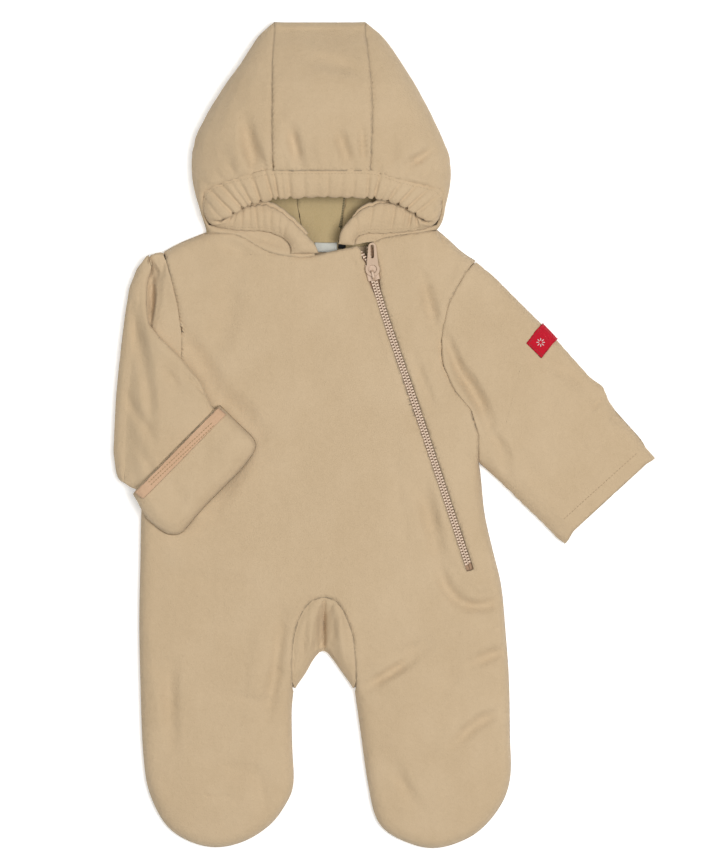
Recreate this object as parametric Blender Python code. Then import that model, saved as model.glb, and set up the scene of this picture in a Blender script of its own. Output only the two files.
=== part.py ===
"""Hooded fleece bunting suit for a small baby, laid flat on its back.

Right and left are the wearer's: the wearer's right is on the -X side. The hood points to +Y,
the front faces +Z, and the back rests on Z = 0. Tables and sizes are in millimetres.
"""

import math

import bmesh
import bpy
import numpy as np
from mathutils import Matrix, Vector
from mathutils.geometry import delaunay_2d_cdt

MM = 0.001
COLLECTION = "fleece_bunting_suit"

# Cloth
WALL = 3.0
GAP = 0.3

# Heights of the middle of the wall
BASE_Z = WALL / 2
TOP_Z = 18.2
SEAM_Z = 7.0
ROLL_TOP = 18.0
ROLL_BASE = 6.0

# Spacing of points along an outline and over a panel
STEP = 15.0
LATTICE = 25.0

# Shares of the way across a sleeve, close together where the cloth rounds over its edges
ACROSS = (0, 0.012, 0.045, 0.125, 0.24, 0.37, 0.5, 0.63, 0.76, 0.875, 0.955, 0.988, 1)

# Shares of the way down the left sleeve at its rings; the label lies over three of them
LEFT_RINGS = (0, 0.09, 0.18, 0.27, 0.345, 0.385, 0.425, 0.51, 0.6, 0.69, 0.78, 0.89, 1)
LABEL_RINGS = (4, 5, 6)
LABEL_TOP = (3, 2, 1, 0)
LABEL_UNDER = (1,)

# Outline of the suit seen from above, clockwise: x, y
SHOULDER_LEFT = [(48, 185), (60, 175), (69, 166), (83, 157)]
OVERARM_LEFT = [(83, 157), (98, 145), (113, 130), (127, 116), (149, 94), (168, 73), (181, 58),
                (195, 44), (203, 30), (217, 13), (231, -3), (243.3, -20)]
UNDERARM_LEFT = [(162, -95), (154, -90), (143, -79), (127, -64), (113, -50), (97, -35), (86, -25)]
SIDE_LEFT = [(86, -25), (88, -42), (91, -72), (99, -107), (106, -136), (110, -179), (113, -222),
             (114, -280), (115, -298), (113, -316), (108, -330), (98, -345), (84, -359),
             (66, -368), (43, -373), (18, -366), (2, -357), (-7, -345), (-12, -323), (-16, -300),
             (-20, -270), (-24, -242), (-25.5, -231.5)]
CROTCH = [(-25.5, -231.5), (-29, -226), (-37, -215), (-47, -201), (-54, -194), (-62, -201),
          (-70, -215), (-78, -226), (-81.5, -231.5)]
SIDE_RIGHT = [(-81.5, -231.5), (-83, -244), (-83, -266), (-82, -295), (-81, -316), (-87, -330),
              (-96, -345), (-112, -359), (-130, -368), (-152, -372), (-176, -366), (-196, -352),
              (-208, -330), (-213, -316), (-217, -280), (-219, -222), (-220, -170), (-219, -114),
              (-218, -64), (-216, -46), (-214, -32)]
UNDERARM_RIGHT = [(-214, -32), (-226, -36), (-236, -38)]
OVERARM_RIGHT = [(-223, 150), (-218, 157), (-209, 163), (-198, 165)]
SHOULDER_RIGHT = [(-198, 165), (-188, 171), (-174, 177), (-159, 183)]

# Seams seen from above: x, y
ARMHOLE_LEFT = [(83, 156), (75, 147), (67, 133), (59, 117), (54, 96), (52, 76), (55, 58),
                (62, 42), (71, 31), (79, 21), (84, 8), (86, -8), (85.5, -26)]
ARMHOLE_RIGHT = [(-198, 164), (-193, 146), (-189, 130), (-186, 117), (-183, 103), (-182, 86),
                 (-182, 71), (-184, 57), (-191, 39), (-199, 22), (-207, 4), (-211, -14),
                 (-213.5, -33)]
GUSSET_ARCH = [(-24, -229), (-25, -207), (-27, -184), (-32, -168), (-38, -155), (-45, -148),
               (-54, -146), (-63, -148), (-71, -156), (-77, -168), (-81, -184), (-82.5, -207),
               (-83, -229)]
NECK_FRONT = [(-159, 183), (-140, 182.5), (-128, 180), (-112, 170), (-98, 164), (-71, 161),
              (-53, 165), (-38, 168), (-26, 171), (-9, 174.5), (0, 178), (24, 182), (48, 185)]
NECK_BACK = [(-159, 183), (-129, 176), (-93, 171), (-53, 168), (-12, 172), (24, 179), (48, 185)]

# Folds pressed into the front: x0, y0, x1, y1, half width, depth
FOLDS = [
    (37, 128, 51, 34, 16, 2.6),
    (8, -8, 22, -110, 14, 1.2),
    (78, -138, 104, -142, 9, 2.4),
    (50, -186, 14, -204, 15, 2.0),
    (104, -222, 60, -266, 16, 1.8),
    (-196, -196, -190, -258, 15, 1.6),
    (-138, -236, -94, -244, 12, 2.2),
    (-54, -150, -54, -190, 12, 6.0),
    (-150, -110, -80, -60, 22, 1.4),
]

# Right sleeve: it is folded like a page over an edge beside the body
PAGE_EDGE = [(-215.5, 158.5), (-221, 152.5), (-225.5, 145.5), (-228.5, 137), (-232, 116),
             (-234.5, 100), (-238, 68), (-241, 40), (-243, 1), (-243.5, -21), (-239.5, -41.5)]
PAGE_RADIUS = 5.2
PAGE_HALF = 2.4
PAGE_CLIMB = 25.0
PAGE_HOLD = 4
LAYERS_APART = 4.4
PAGE_Z = BASE_Z + PAGE_RADIUS + PAGE_HALF
TURN_ANGLES = (30, 60, 90, 120, 150)
TURNED_RINGS = (0, 0.035, 0.07, 0.105, 0.14, 0.18, 0.225, 0.28, 0.36, 0.48, 0.62, 0.766, 0.817,
                0.9, 1)
TOP_OVERARM = [(-211.5, 142), (-213, 131), (-213, 115), (-209.5, 97), (-195, 82.5),
               (-178.7, 65.7), (-163, 47)]
SLEEVE_ROLL = 8.0

# Mitten flaps: the cuff's corner, its direction, and outlines in along, up from the cuff
RIGHT_CUFF = (-176, -80)
RIGHT_CUFF_WAY = (0.67, 0.742)
SLEEVE_OVER_END = [(99.5, 65), (96.5, 58.5), (92.5, 54), (92.5, 45), (91.5, 30), (89.5, 16),
                   (87, 10)]
SLEEVE_UNDER_END = [(-11.5, 63.5), (-11, 60), (-8, 55.5), (-9, 46), (-13, 35), (-14, 24),
                    (-12.5, 14), (-9, 10)]
FLAP_SIDE_UNDER = [(-13, 54.5), (-15.5, 46), (-19, 37), (-21, 28), (-20, 12), (-16.5, 3.5),
                   (-9, -1.5)]
FLAP_END = [(-9, -1.5), (16, -0.6), (45, -1.6), (70, -2.6), (88, -0.8)]
FLAP_SIDE_OVER = [(88, -0.8), (94.5, 3), (97, 10), (97.5, 27), (98.2, 42), (98.5, 50)]
FLAP_HEM = [(-11.5, 55), (97, 50.5)]
FLAP_ROLL = 10.0
FLAP_REACH = 9.2
HEM_INSET = 1.2
HEM_WIDTH = 9.0
HEM_WALL = 1.2
LEFT_FLAP = [(241, -18), (230, -3), (216, 13), (203.5, 27)]
LEFT_FLAP_REST = [(166, -12), (126, -56), (160, -91)]
LIFT = 4.0
LIFT_START = 98.0
LIFT_END = 68.0

# Hood rows: y, right outline x, left outline x, right seam x, left seam x, seam z,
# right back seam x, left back seam x, height of the side folds
HOOD_ROWS = [
    (360, -110.5, -3.5, -98.4, -16.5, 19.5, -97, -19, 9.5),
    (349, -118.0, 5.5, -99.0, -15.0, 26.5, -97, -19, 10),
    (334, -127.5, 15.5, -100, -13, 33.5, -97, -19, 10),
    (315, -141.5, 27.5, -100, -11, 39.5, -96, -19, 10),
    (293, -155.5, 39.5, -100, -10, 43.5, -95, -20, 10),
    (270, -167.5, 50.5, -100, -10.5, 45, -90, -25, 10),
    (252, -171.5, 58, -99.5, -11.5, 44, -85, -29, 10),
    (236.5, -171.5, 59.5, -99, -12, 41, -80, -32, 10),
]
# Rows beside the face opening: y, outlines, where the panel's upper edge ends (x and z each
# side), back seams, height of the side folds
FACE_ROWS = [
    (229, -170.5, 59, -138, 35.5, 14, 38.0, -79, -33, 10),
    (219, -168.5, 57.5, -161, 26.0, 52.0, 25.5, -78, -34, 9.5),
    (207, -165.0, 54.5, -162.2, 21.5, 52.6, 21.0, -77, -35, 9),
    (196, -161.8, 52.5, -160.4, 18.5, 51.0, 18, -76, -37, 8.5),
    (189, -159.2, 49.6, -157.6, 16, 48.2, 15.5, -74, -38, 8),
]
HOOD_END = (364.0, 6.5)
NECK_SEAM_X = (-71, -40)
HOOD_BULGE = 3.0
HOOD_ROLL = 8.0
HOOD_GAP = 0.45
BASE_SHARES = (1, 0.6, 0.28, 0.1, 0.03)
NECK_SHARES = (0.1, 0.24, 0.4, 0.58, 0.78, 1)
TOP_SHARES = (0.012, 0.05, 0.14, 0.32, 0.6, 1)
CENTRE_SHARES = (0, 0.14, 0.35, 0.5, 0.65, 0.86, 1)

# Casing: stitched edge x, y, z and free edge x, y, z, from the right chin over the brow
CASING = [
    (-81, 163.2, 22.2, -60, 163.8, 22.4),
    (-81.5, 168.0, 22.0, -65, 173.5, 23.4),
    (-85, 174.0, 21.3, -79, 188.0, 23.2),
    (-93, 180.5, 20.6, -93, 200.0, 22.8),
    (-107, 185.0, 20.2, -108, 206.0, 22.4),
    (-128, 185.5, 19.8, -127, 203.5, 21.8),
    (-146, 187.5, 19.6, -140, 197.0, 21.6),
    (-156, 191.0, 20.0, -146.5, 193.0, 23.5),
    (-160.5, 199.0, 21.2, -147.0, 194.5, 26.8),
    (-161, 208.0, 23.2, -143, 198.0, 29.6),
    (-158, 219.4, 27.5, -136, 201.5, 31.5),
    (-138, 228.2, 35.2, -124, 206.0, 32.6),
    (-113, 233.5, 39.6, -108, 210.5, 33.5),
    (-99, 236.0, 41.0, -95, 212.5, 34.0),
    (-56, 236.0, 42.5, -56, 214.5, 34.5),
    (-12, 236.0, 41.0, -14, 213.5, 34.0),
    (13, 228.5, 38.0, 3, 211.0, 33.5),
    (31, 224.2, 33.5, 17, 206.5, 32.4),
    (50, 219.0, 27.0, 28, 201.5, 31.2),
    (51.5, 208.0, 22.8, 35, 197.0, 29.2),
    (50, 198.0, 20.8, 38.5, 193.5, 26.4),
    (45.5, 190.5, 19.8, 37.5, 192.0, 23.2),
    (37, 186.5, 19.4, 32, 196.0, 21.6),
    (22, 184.5, 19.6, 25, 202.0, 21.6),
    (4, 183.5, 19.9, 8, 207.0, 22.0),
    (-12, 183.5, 20.3, -8, 206.0, 22.4),
    (-21, 181.0, 20.8, -23, 199.0, 22.8),
    (-26, 177.0, 21.6, -36.5, 184.5, 23.2),
    (-27.5, 170.5, 22.3, -40, 171.5, 22.6),
]
CASING_THICK = 6.6
CASING_STEP = 11.0

# Gathers in the casing: from and to, in shares of its length, their number and depth
GATHERS = [(0.03, 0.235, 9, 1.0), (0.30, 0.44, 7, 1.05), (0.44, 0.57, 5, 0.7),
           (0.57, 0.70, 7, 1.05), (0.765, 0.84, 4, 0.9)]

# Zip: centre line x, y from the neck down; slit half width by distance from the neck
ZIP_LINE = [(-19.4, 171.8), (-14, 159), (-10.4, 148.5), (-8.6, 139.5), (4, 99), (26, 35),
            (51, -40), (78, -122)]
SLIT_HALF = [(0, 9.5), (10, 7.6), (18, 6.3), (36, 6.1), (42, 4.2), (400, 4.2)]
TEETH_HALF = 2.85
TEETH_WALL = 2.6
TEETH_SPREAD = 4.8
SPREAD_END = 15.0
TAPE_WIDTH = 12.0
TAPE_WALL = 1.0
TAPE_DROP = 3.0
TEETH_DROP = 0.4
ZIP_START = 4.0
ZIP_MIDDLE = 0.32

# Slider and pull, in the slider's own frame: along the zip, across it, up
SLIDER_AT = 27.0
SLIDER_LENGTH = 15.0
SLIDER_HALF = 5.6
SLIDER_INNER = 3.9
PLATE_Z = (19.5, 20.9)
SKIRT_Z = 16.7
PULL_AXIS_AT = 29.6
PULL_AXIS_Z = 22.6
CROWN_HALF = (2.5, 4.0)
CROWN_WIDTH = 2.0
CROWN_RISE = 1.8
CROWN_BAR = 1.2
EYE_OUTER = 6.5
EYE_INNER = 3.75
EYE_RIM = 1.375
PULL_LENGTH = 24.0
PULL_HALF = 3.6
PULL_WALL = 1.6
PULL_SLOT = (9.8, 22.0, 1.4)
PULL_TILT = 3.2
PULL_HEADING = 8.0

# Labels
LABEL_WALL = 1.0
NECK_LABEL = (-52.0, 172.5, 20.0, 8.0)
NECK_TAB = (-37.5, 172.0, 6.0, 7.0)

# Colours: linear red, green, blue; roughness; metallic
FLEECE = ((0.585, 0.442, 0.287), 0.95, 0.0)
FLEECE_HEM = ((0.60, 0.40, 0.27), 0.9, 0.0)
ZIP_TAPE = ((0.46, 0.31, 0.19), 0.85, 0.0)
ZIP_PLASTIC = ((0.45, 0.28, 0.18), 0.42, 0.0)
LABEL_RED = ((0.60, 0.02, 0.045), 0.7, 0.0)
LABEL_GREY = ((0.55, 0.56, 0.56), 0.7, 0.0)
TAB_BLACK = ((0.02, 0.02, 0.02), 0.8, 0.0)


# Curves in the plane

def smooth(points, step):
    """Evenly spaced points, about step apart, on a smooth curve through the given points."""
    pts = np.array(points, float)
    ends = np.vstack([2 * pts[0] - pts[1], pts, 2 * pts[-1] - pts[-2]])
    dense = []
    for i in range(len(pts) - 1):
        p0, p1, p2, p3 = ends[i:i + 4]
        for t in np.linspace(0, 1, 12, endpoint=False):
            dense.append(0.5 * (2 * p1 + (p2 - p0) * t + (2 * p0 - 5 * p1 + 4 * p2 - p3) * t ** 2
                                + (3 * p1 - p0 - 3 * p2 + p3) * t ** 3))
    dense.append(pts[-1])
    dense = np.array(dense)
    return at(dense, np.linspace(0, 1, max(2, round(length(dense) / step) + 1)))


def length(curve):
    """Length of a curve of points."""
    return float(np.linalg.norm(np.diff(curve, axis=0), axis=1).sum())


def at(curve, shares):
    """Points at the given shares of a curve's length."""
    run = np.concatenate([[0], np.cumsum(np.linalg.norm(np.diff(curve, axis=0), axis=1))])
    where = np.asarray(shares) * run[-1]
    return np.stack([np.interp(where, run, curve[:, k]) for k in range(curve.shape[1])], -1)


def normals_2d(curve):
    """Unit normals on the left of a curve."""
    way = np.gradient(curve, axis=0)
    way /= np.linalg.norm(way, axis=1)[:, None]
    return np.stack([-way[:, 1], way[:, 0]], -1)


def moved(curve, distance):
    """A curve moved to its left by a distance."""
    return curve + normals_2d(curve) * distance


def outline_parts(*tables):
    """Smooth curves of the wall's middle, inside the outline that the tables give in turn."""
    parts = [smooth(table, 5) for table in tables]
    joined = np.vstack([parts[0]] + [part[1:] for part in parts[1:]])
    inner = moved(joined, -WALL / 2)
    cuts = np.cumsum([0] + [len(part) - 1 for part in parts])
    return [inner[a:b + 1] for a, b in zip(cuts[:-1], cuts[1:])]


def extended(curve, distance):
    """A curve with one more point, straight on past its end."""
    way = curve[-1] - curve[-2]
    return np.vstack([curve, curve[-1] + way / np.linalg.norm(way) * distance])


def thin(curve):
    """A curve with its points about STEP apart."""
    return at(curve, np.linspace(0, 1, max(2, round(length(curve) / STEP) + 1)))


def nearest(edges, xy):
    """Distance to the nearest edge and the unit direction outwards to it."""
    best = np.full(len(xy), np.inf)
    out = np.zeros((len(xy), 2))
    sides = np.zeros((len(xy), 2))
    for edge in edges:
        for a, b in zip(edge[:-1], edge[1:]):
            run = b - a
            side = np.array([-run[1], run[0]]) / np.linalg.norm(run)
            share = np.clip(((xy - a) @ run) / (run @ run), 0, 1)
            to = a + share[:, None] * run - xy
            far = np.linalg.norm(to, axis=1)
            sides[far < 0.5] += side
            better = far < best
            best = np.where(better, far, best)
            out[better] = (to / np.maximum(far, 1e-9)[:, None])[better]
    close = np.linalg.norm(sides, axis=1) > 0
    out[close] = unit(sides[close])
    return best, out


def fade(x):
    """A smooth step from 0 at 0 to 1 at 1."""
    x = np.clip(x, 0, 1)
    return x * x * (3 - 2 * x)


def fold_depth(xy, folds):
    """How far the folds press the cloth down at each point."""
    depth = np.zeros(len(xy))
    for x0, y0, x1, y1, half, deep in folds:
        a = np.array([x0, y0], float)
        run = np.array([x1, y1], float) - a
        share = ((xy - a) @ run) / (run @ run)
        side = np.abs((xy - a) @ np.array([-run[1], run[0]])) / np.linalg.norm(run)
        across = 0.5 + 0.5 * np.cos(math.pi * np.clip(side / half, 0, 1))
        depth += deep * across * fade((0.5 - np.abs(share - 0.5)) / 0.3 + 0.35)
    return depth


class Layer:
    """A layer of cloth that lies at one height and rounds over to its outline."""

    def __init__(self, edges, roll, edge_z, flat_z, folds=()):
        self.edges = edges
        self.roll = roll
        self.edge_z = edge_z
        self.flat_z = flat_z
        self.folds = folds
        self.seams = []

    def __call__(self, xy):
        """Points and unit normals over plan points; both sides of a seam have its normals."""
        points, normals = self.surface(xy)
        for line in self.seams:
            apart = np.linalg.norm(xy[:, None] - line[None], axis=2)
            beside = apart.min(axis=1) < 1.5 * GAP
            normals[beside] = self.surface(line)[1][apart.argmin(axis=1)[beside]]
        return points, normals

    def surface(self, xy):
        """Points and unit normals of the wall's middle over plan points."""
        far, out = nearest(self.edges, xy)
        cos = 1 - np.clip(far / self.roll, 0, 1)
        sin = np.sqrt(1 - cos ** 2)
        rise = self.flat_z - self.edge_z
        z = self.edge_z + rise * sin - fold_depth(xy, self.folds) * sin ** 2
        normal = np.column_stack([out * (cos / self.roll)[:, None], sin / rise])
        return np.column_stack([xy, z]), unit(normal)


def unit(vectors):
    """Vectors made one long."""
    return vectors / np.linalg.norm(vectors, axis=-1, keepdims=True)


def coons(start, end, side0, side1, s, t, hold=1):
    """Plan points of a patch between four curves, at shares s along and t across.

    With a larger hold, the shape of the two side curves reaches less far across the patch.
    """
    s = np.asarray(s)[:, None, None]
    t = np.asarray(t)[None, :, None]
    middle = (1 - s) * at(start, t[0, :, 0])[None] + s * at(end, t[0, :, 0])[None]
    bend0 = at(side0, s[:, 0, 0])[:, None, :] - (1 - s) * start[0] - s * end[0]
    bend1 = at(side1, s[:, 0, 0])[:, None, :] - (1 - s) * start[-1] - s * end[-1]
    return middle + (1 - t) ** hold * bend0 + t ** hold * bend1


# Meshes

def material(name, look):
    """A plain material with a part's colour, roughness and metallic value."""
    colour, rough, metallic = look
    made = bpy.data.materials.get(name) or bpy.data.materials.new(name)
    made.use_nodes = True
    shader = made.node_tree.nodes["Principled BSDF"]
    shader.inputs["Base Color"].default_value = (*colour, 1)
    shader.inputs["Roughness"].default_value = rough
    shader.inputs["Metallic"].default_value = metallic
    made.diffuse_color = (*colour, 1)
    return made


def add_object(name, mesh, slot, look):
    """Link a mesh into the scene as a named object with its material."""
    made = bpy.data.objects.new(name, mesh)
    mesh.materials.append(material(slot, look))
    bpy.data.collections[COLLECTION].objects.link(made)
    return made


def add_rim(bm, outer_a, outer_b, inner_a, inner_b):
    """Close the wall's rim with two triangles, split along the shorter diagonal."""
    if (outer_a.co - inner_b.co).length < (outer_b.co - inner_a.co).length:
        bm.faces.new([outer_b, outer_a, inner_b])
        bm.faces.new([outer_a, inner_a, inner_b])
    else:
        bm.faces.new([outer_b, outer_a, inner_a])
        bm.faces.new([outer_b, inner_a, inner_b])


def solid(name, points, normals, faces, slot, look, wall=WALL):
    """A closed wall of cloth about a middle surface, each point thickened along its normal."""
    half = normals * (wall / 2)
    mesh = bpy.data.meshes.new(name)
    bm = bmesh.new()
    outer = [bm.verts.new(Vector(p) * MM) for p in points + half]
    inner = [bm.verts.new(Vector(p) * MM) for p in points - half]
    open_edges = {}
    for face in faces:
        bm.faces.new([outer[i] for i in face])
        bm.faces.new([inner[i] for i in reversed(face)])
        for a, b in zip(face, face[1:] + face[:1]):
            key = (min(a, b), max(a, b))
            open_edges[key] = None if key in open_edges else (a, b)
    for pair in open_edges.values():
        if pair:
            add_rim(bm, *(side[k] for side in (outer, inner) for k in pair))
    bmesh.ops.recalc_face_normals(bm, faces=bm.faces)
    bm.to_mesh(mesh)
    bm.free()
    return add_object(name, mesh, slot, look)


def grid_faces(rows, columns, closed=False):
    """Faces of a grid of points counted row by row; closed joins the last column to the first."""
    faces = []
    for r in range(rows - 1):
        for c in range(columns if closed else columns - 1):
            d = (c + 1) % columns
            faces.append([r * columns + c, r * columns + d,
                          (r + 1) * columns + d, (r + 1) * columns + c])
    return faces


def ways_along(grid, closed=False):
    """The way along each column of a grid, halfway between its neighbouring pieces' ways."""
    step = np.diff(np.concatenate([grid, grid[:1]]) if closed else grid, axis=0)
    step = step / np.maximum(np.linalg.norm(step, axis=-1, keepdims=True), 1e-9)
    if closed:
        return step + np.roll(step, 1, axis=0)
    return np.concatenate([step[:1], step]) + np.concatenate([step, step[-1:]])


def grid_normals(grid, closed=False):
    """Unit normals of a grid of points, from its neighbours along and across."""
    across = ways_along(grid.swapaxes(0, 1), closed).swapaxes(0, 1)
    cross = np.cross(ways_along(grid), across)
    size = np.linalg.norm(cross, axis=-1, keepdims=True)
    return cross / np.maximum(size, 1e-9)


def flat(grid):
    """A grid of points as one list."""
    return grid.reshape(-1, 3)


def faces_over(boundary, inner_points):
    """Plan points and triangles over the inside of a closed boundary."""
    count = len(boundary)
    loop = list(range(count))
    places = [Vector(p) for p in np.vstack([boundary, inner_points])]
    edges = [(i, (i + 1) % count) for i in loop]
    verts, _, faces, *_ = delaunay_2d_cdt(places, edges, [loop], 1, 1e-4)
    return np.array([tuple(v) for v in verts]), [list(face) for face in faces]


def inside(boundary, xy):
    """Which plan points lie inside a closed boundary."""
    hit = np.zeros(len(xy), bool)
    for a, b in zip(boundary, np.roll(boundary, -1, axis=0)):
        crosses = (a[1] > xy[:, 1]) != (b[1] > xy[:, 1])
        rise = b[1] - a[1] if b[1] != a[1] else 1e-9
        hit ^= crosses & (xy[:, 0] < a[0] + (xy[:, 1] - a[1]) * (b[0] - a[0]) / rise)
    return hit


def panel_points(boundary, rolled, offsets, folds, lattice, beside=None):
    """Plan points inside a panel: rows beside its rounded edges, its folds, and a lattice."""
    sets = [] if beside is None else [(beside, 1.0)]
    for offset in offsets:
        for edge in rolled:
            sets.append((moved(edge, -offset), 0.8 * offset))
    for x0, y0, x1, y1, half, _ in folds:
        line = smooth([(x0, y0), ((x0 + x1) / 2, (y0 + y1) / 2), (x1, y1)], 18)
        for side in (-0.75, 0, 0.75):
            sets.append((moved(line, side * half), 4.0))
    low, high = boundary.min(axis=0), boundary.max(axis=0)
    rows = []
    for k, y in enumerate(np.arange(low[1] + lattice / 2, high[1], lattice * 0.87)):
        shift = lattice / 2 * (k % 2)
        rows += [(x, y) for x in np.arange(low[0] + shift, high[0], lattice)]
    sets.append((np.array(rows), lattice * 0.62))
    kept = np.empty((0, 2))
    border = [np.vstack([boundary, boundary[:1]])]
    for points, clear in sets:
        points = points[inside(boundary, points)]
        points = points[nearest(border, points)[0] > clear]
        space = 4.5 if clear < lattice / 2 else lattice * 0.55
        for point in points:
            if not len(kept) or np.linalg.norm(kept - point, axis=1).min() > space:
                kept = np.vstack([kept, point])
    return kept


def panel(name, boundary, layer, rolled, offsets, lattice=LATTICE, beside=None):
    """A cloth panel cut to a plan boundary and laid over a layer, with the points beside a zip."""
    extra = panel_points(boundary, rolled, offsets, layer.folds, lattice, beside)
    xy, faces = faces_over(boundary, extra)
    points, normals = layer(xy)
    return solid(name, points, normals, faces, "fleece", FLEECE)


# The suit's outline, seams and layers

shoulder_left, overarm_left = outline_parts(SHOULDER_LEFT, OVERARM_LEFT)
underarm_left, side_left, crotch, side_right, underarm_right = outline_parts(
    UNDERARM_LEFT, SIDE_LEFT, CROTCH, SIDE_RIGHT, UNDERARM_RIGHT)
overarm_right, shoulder_right = outline_parts(OVERARM_RIGHT, SHOULDER_RIGHT)
OUTLINE = [
    extended(np.vstack([shoulder_left, overarm_left[1:]]), 60),
    np.vstack([extended(underarm_left[::-1], 60)[::-1], side_left[1:], crotch[1:], side_right[1:],
               underarm_right[1:]]),
    np.vstack([overarm_right, shoulder_right[1:]]),
]
upper = Layer(OUTLINE, ROLL_TOP, SEAM_Z + GAP / 2, TOP_Z, FOLDS)
lower = Layer(OUTLINE, ROLL_BASE, SEAM_Z - GAP / 2, BASE_Z)


def pinned(curve, first, last):
    """A curve whose ends are moved onto two points."""
    share = np.linspace(0, 1, len(curve))[:, None]
    return curve + (1 - share) * (first - curve[0]) + share * (last - curve[-1])


armhole_left = at(pinned(smooth(ARMHOLE_LEFT, 3), overarm_left[0], underarm_left[-1]), ACROSS)
armhole_right = at(pinned(smooth(ARMHOLE_RIGHT, 3), shoulder_right[0], side_right[-1]), ACROSS)
arch = at(smooth(GUSSET_ARCH, 3), np.concatenate([[0], np.linspace(0.04, 0.96, 17), [1]]))
neck_front = pinned(smooth(NECK_FRONT, 3), shoulder_right[-1], shoulder_left[0])
neck_back = pinned(smooth(NECK_BACK, 3), shoulder_right[-1], shoulder_left[0])
zip_line = smooth(ZIP_LINE, 3)


def body_boundary(neck):
    """Clockwise boundary of the front or the back with the given neck edge."""
    side = GAP / 2
    return np.vstack([
        thin(shoulder_left)[:-1],
        moved(armhole_left, -side),
        thin(side_left)[1:],
        moved(arch, -side),
        thin(side_right)[:-1],
        moved(armhole_right, side)[::-1],
        thin(shoulder_right)[1:-1],
        neck,
    ])


def neck_points(curve, xs):
    """Points of a neck edge at the given x."""
    return np.column_stack([xs, np.interp(xs, curve[:, 0], curve[:, 1])])


def zip_offset(distances, offsets):
    """Plan points beside the zip's centre line, at distances along it and offsets across."""
    total = length(zip_line)
    centre = at(zip_line, np.array(distances) / total)
    ahead = at(zip_line, (np.array(distances) + 0.5) / total)
    behind = at(zip_line, np.clip((np.array(distances) - 0.5) / total, 0, 1))
    way = unit(ahead - behind)
    return centre + np.column_stack([-way[:, 1], way[:, 0]]) * np.array(offsets)[:, None]


ZIP_LENGTH = length(zip_line)
ZIP_STATIONS = [0, 8, 16, 23, 30, 37, 44] + list(np.linspace(60, ZIP_LENGTH, 13))


def slit_half(distances):
    """Half width of the slit at distances from the neck."""
    run, half = zip(*SLIT_HALF)
    return np.interp(distances, run, half)


# Front, back and gusset

TONGUE_RIGHT_X = (-152, -144, -135, -124, -111, -98, -87, -78, -70, -62)
TONGUE_LEFT_X = (41.5, 33, 24, 12, 0, -8.5)
TONGUE_OVER_ZIP = (-13, -19, -26)
ZIP_CLEAR = 1.2
SIDE_ROWS = len(HOOD_ROWS) + len(FACE_ROWS)
CENTRE_X = [NECK_SEAM_X[0] + share * (NECK_SEAM_X[1] - NECK_SEAM_X[0]) for share in CENTRE_SHARES]


def front_neck_xs():
    """x of the shared points along the front neck seam, for the right and the left side."""
    right = [shoulder_right[-1][0] + share * (TONGUE_RIGHT_X[0] - shoulder_right[-1][0])
             for share in NECK_SHARES]
    left = [shoulder_left[0][0] + share * (TONGUE_LEFT_X[0] - shoulder_left[0][0])
            for share in NECK_SHARES]
    return right + list(TONGUE_RIGHT_X[1:]), left + list(TONGUE_LEFT_X[1:])


def back_neck_xs():
    """x of the shared points along the back neck seam, from the right shoulder to the left."""
    right = [shoulder_right[-1][0] + share * (NECK_SEAM_X[0] - shoulder_right[-1][0])
             for share in sorted(BASE_SHARES)]
    left = [shoulder_left[0][0] + share * (NECK_SEAM_X[1] - shoulder_left[0][0])
            for share in sorted(BASE_SHARES, reverse=True)]
    return [shoulder_right[-1][0]] + right + CENTRE_X[1:-1] + left + [shoulder_left[0][0]]


def make_body():
    """The front with its slit, the back, and the gusset between the legs."""
    left_of_slit = zip_offset(ZIP_STATIONS, slit_half(ZIP_STATIONS))
    right_of_slit = zip_offset(ZIP_STATIONS, -slit_half(ZIP_STATIONS))
    right_xs, left_xs = front_neck_xs()
    before = neck_points(neck_front, right_xs + [-50, -40])
    after = neck_points(neck_front, left_xs[::-1])
    for slit in (left_of_slit, right_of_slit):
        slit[0] = neck_points(neck_front, [slit[0, 0]])[0]
    neck = np.vstack([shoulder_right[-1:], before, right_of_slit, left_of_slit[::-1], after])
    neck_top = np.vstack([shoulder_right[-1:], before, after, shoulder_left[:1]])
    neck_low = neck_points(neck_back, back_neck_xs())
    upper.seams = [armhole_left, armhole_right, arch, neck_top]
    lower.seams = [armhole_left, armhole_right, arch, neck_low]
    rolled = [thin(shoulder_left), thin(side_left), thin(side_right), thin(shoulder_right)]
    over_tape = [zip_offset(ZIP_STATIONS, np.full(len(ZIP_STATIONS), side * (TAPE_WIDTH + GAP)))
                 for side in (-1, 1)]
    panel("front", body_boundary(neck), upper, rolled + [thin(crotch)], (2, 7, 16),
          beside=np.vstack(over_tape))
    panel("back", body_boundary(neck_low[:-1]), lower, rolled, (1.2, 4.5), 42.0)

    share = np.linspace(0.04, 0.96, 17)
    inner = moved(arch, GAP / 2)[1:-1]
    edge = at(crotch, share)
    shares = np.array([0, 0.4, 0.72, 0.92, 1])[:, None, None]
    plan = inner * (1 - shares) + edge * shares
    top, top_normal = upper(plan.reshape(-1, 2))
    base, base_normal = lower(plan[:-1].reshape(-1, 2))
    rows = len(shares)
    points = np.vstack([top.reshape(rows, -1, 3), base.reshape(rows - 1, -1, 3)[::-1]])
    normals = np.vstack([top_normal.reshape(rows, -1, 3),
                         base_normal.reshape(rows - 1, -1, 3)[::-1]])
    points[rows - 1, :, 2] = SEAM_Z
    faces = grid_faces(2 * rows - 1, len(share))
    solid("gusset", flat(points), flat(normals), faces, "fleece", FLEECE)


# Sleeves

def cuff_left():
    """The left sleeve's end in plan, from its upper edge to its lower edge."""
    return np.vstack([overarm_left[-1], underarm_left[0]])


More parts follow.
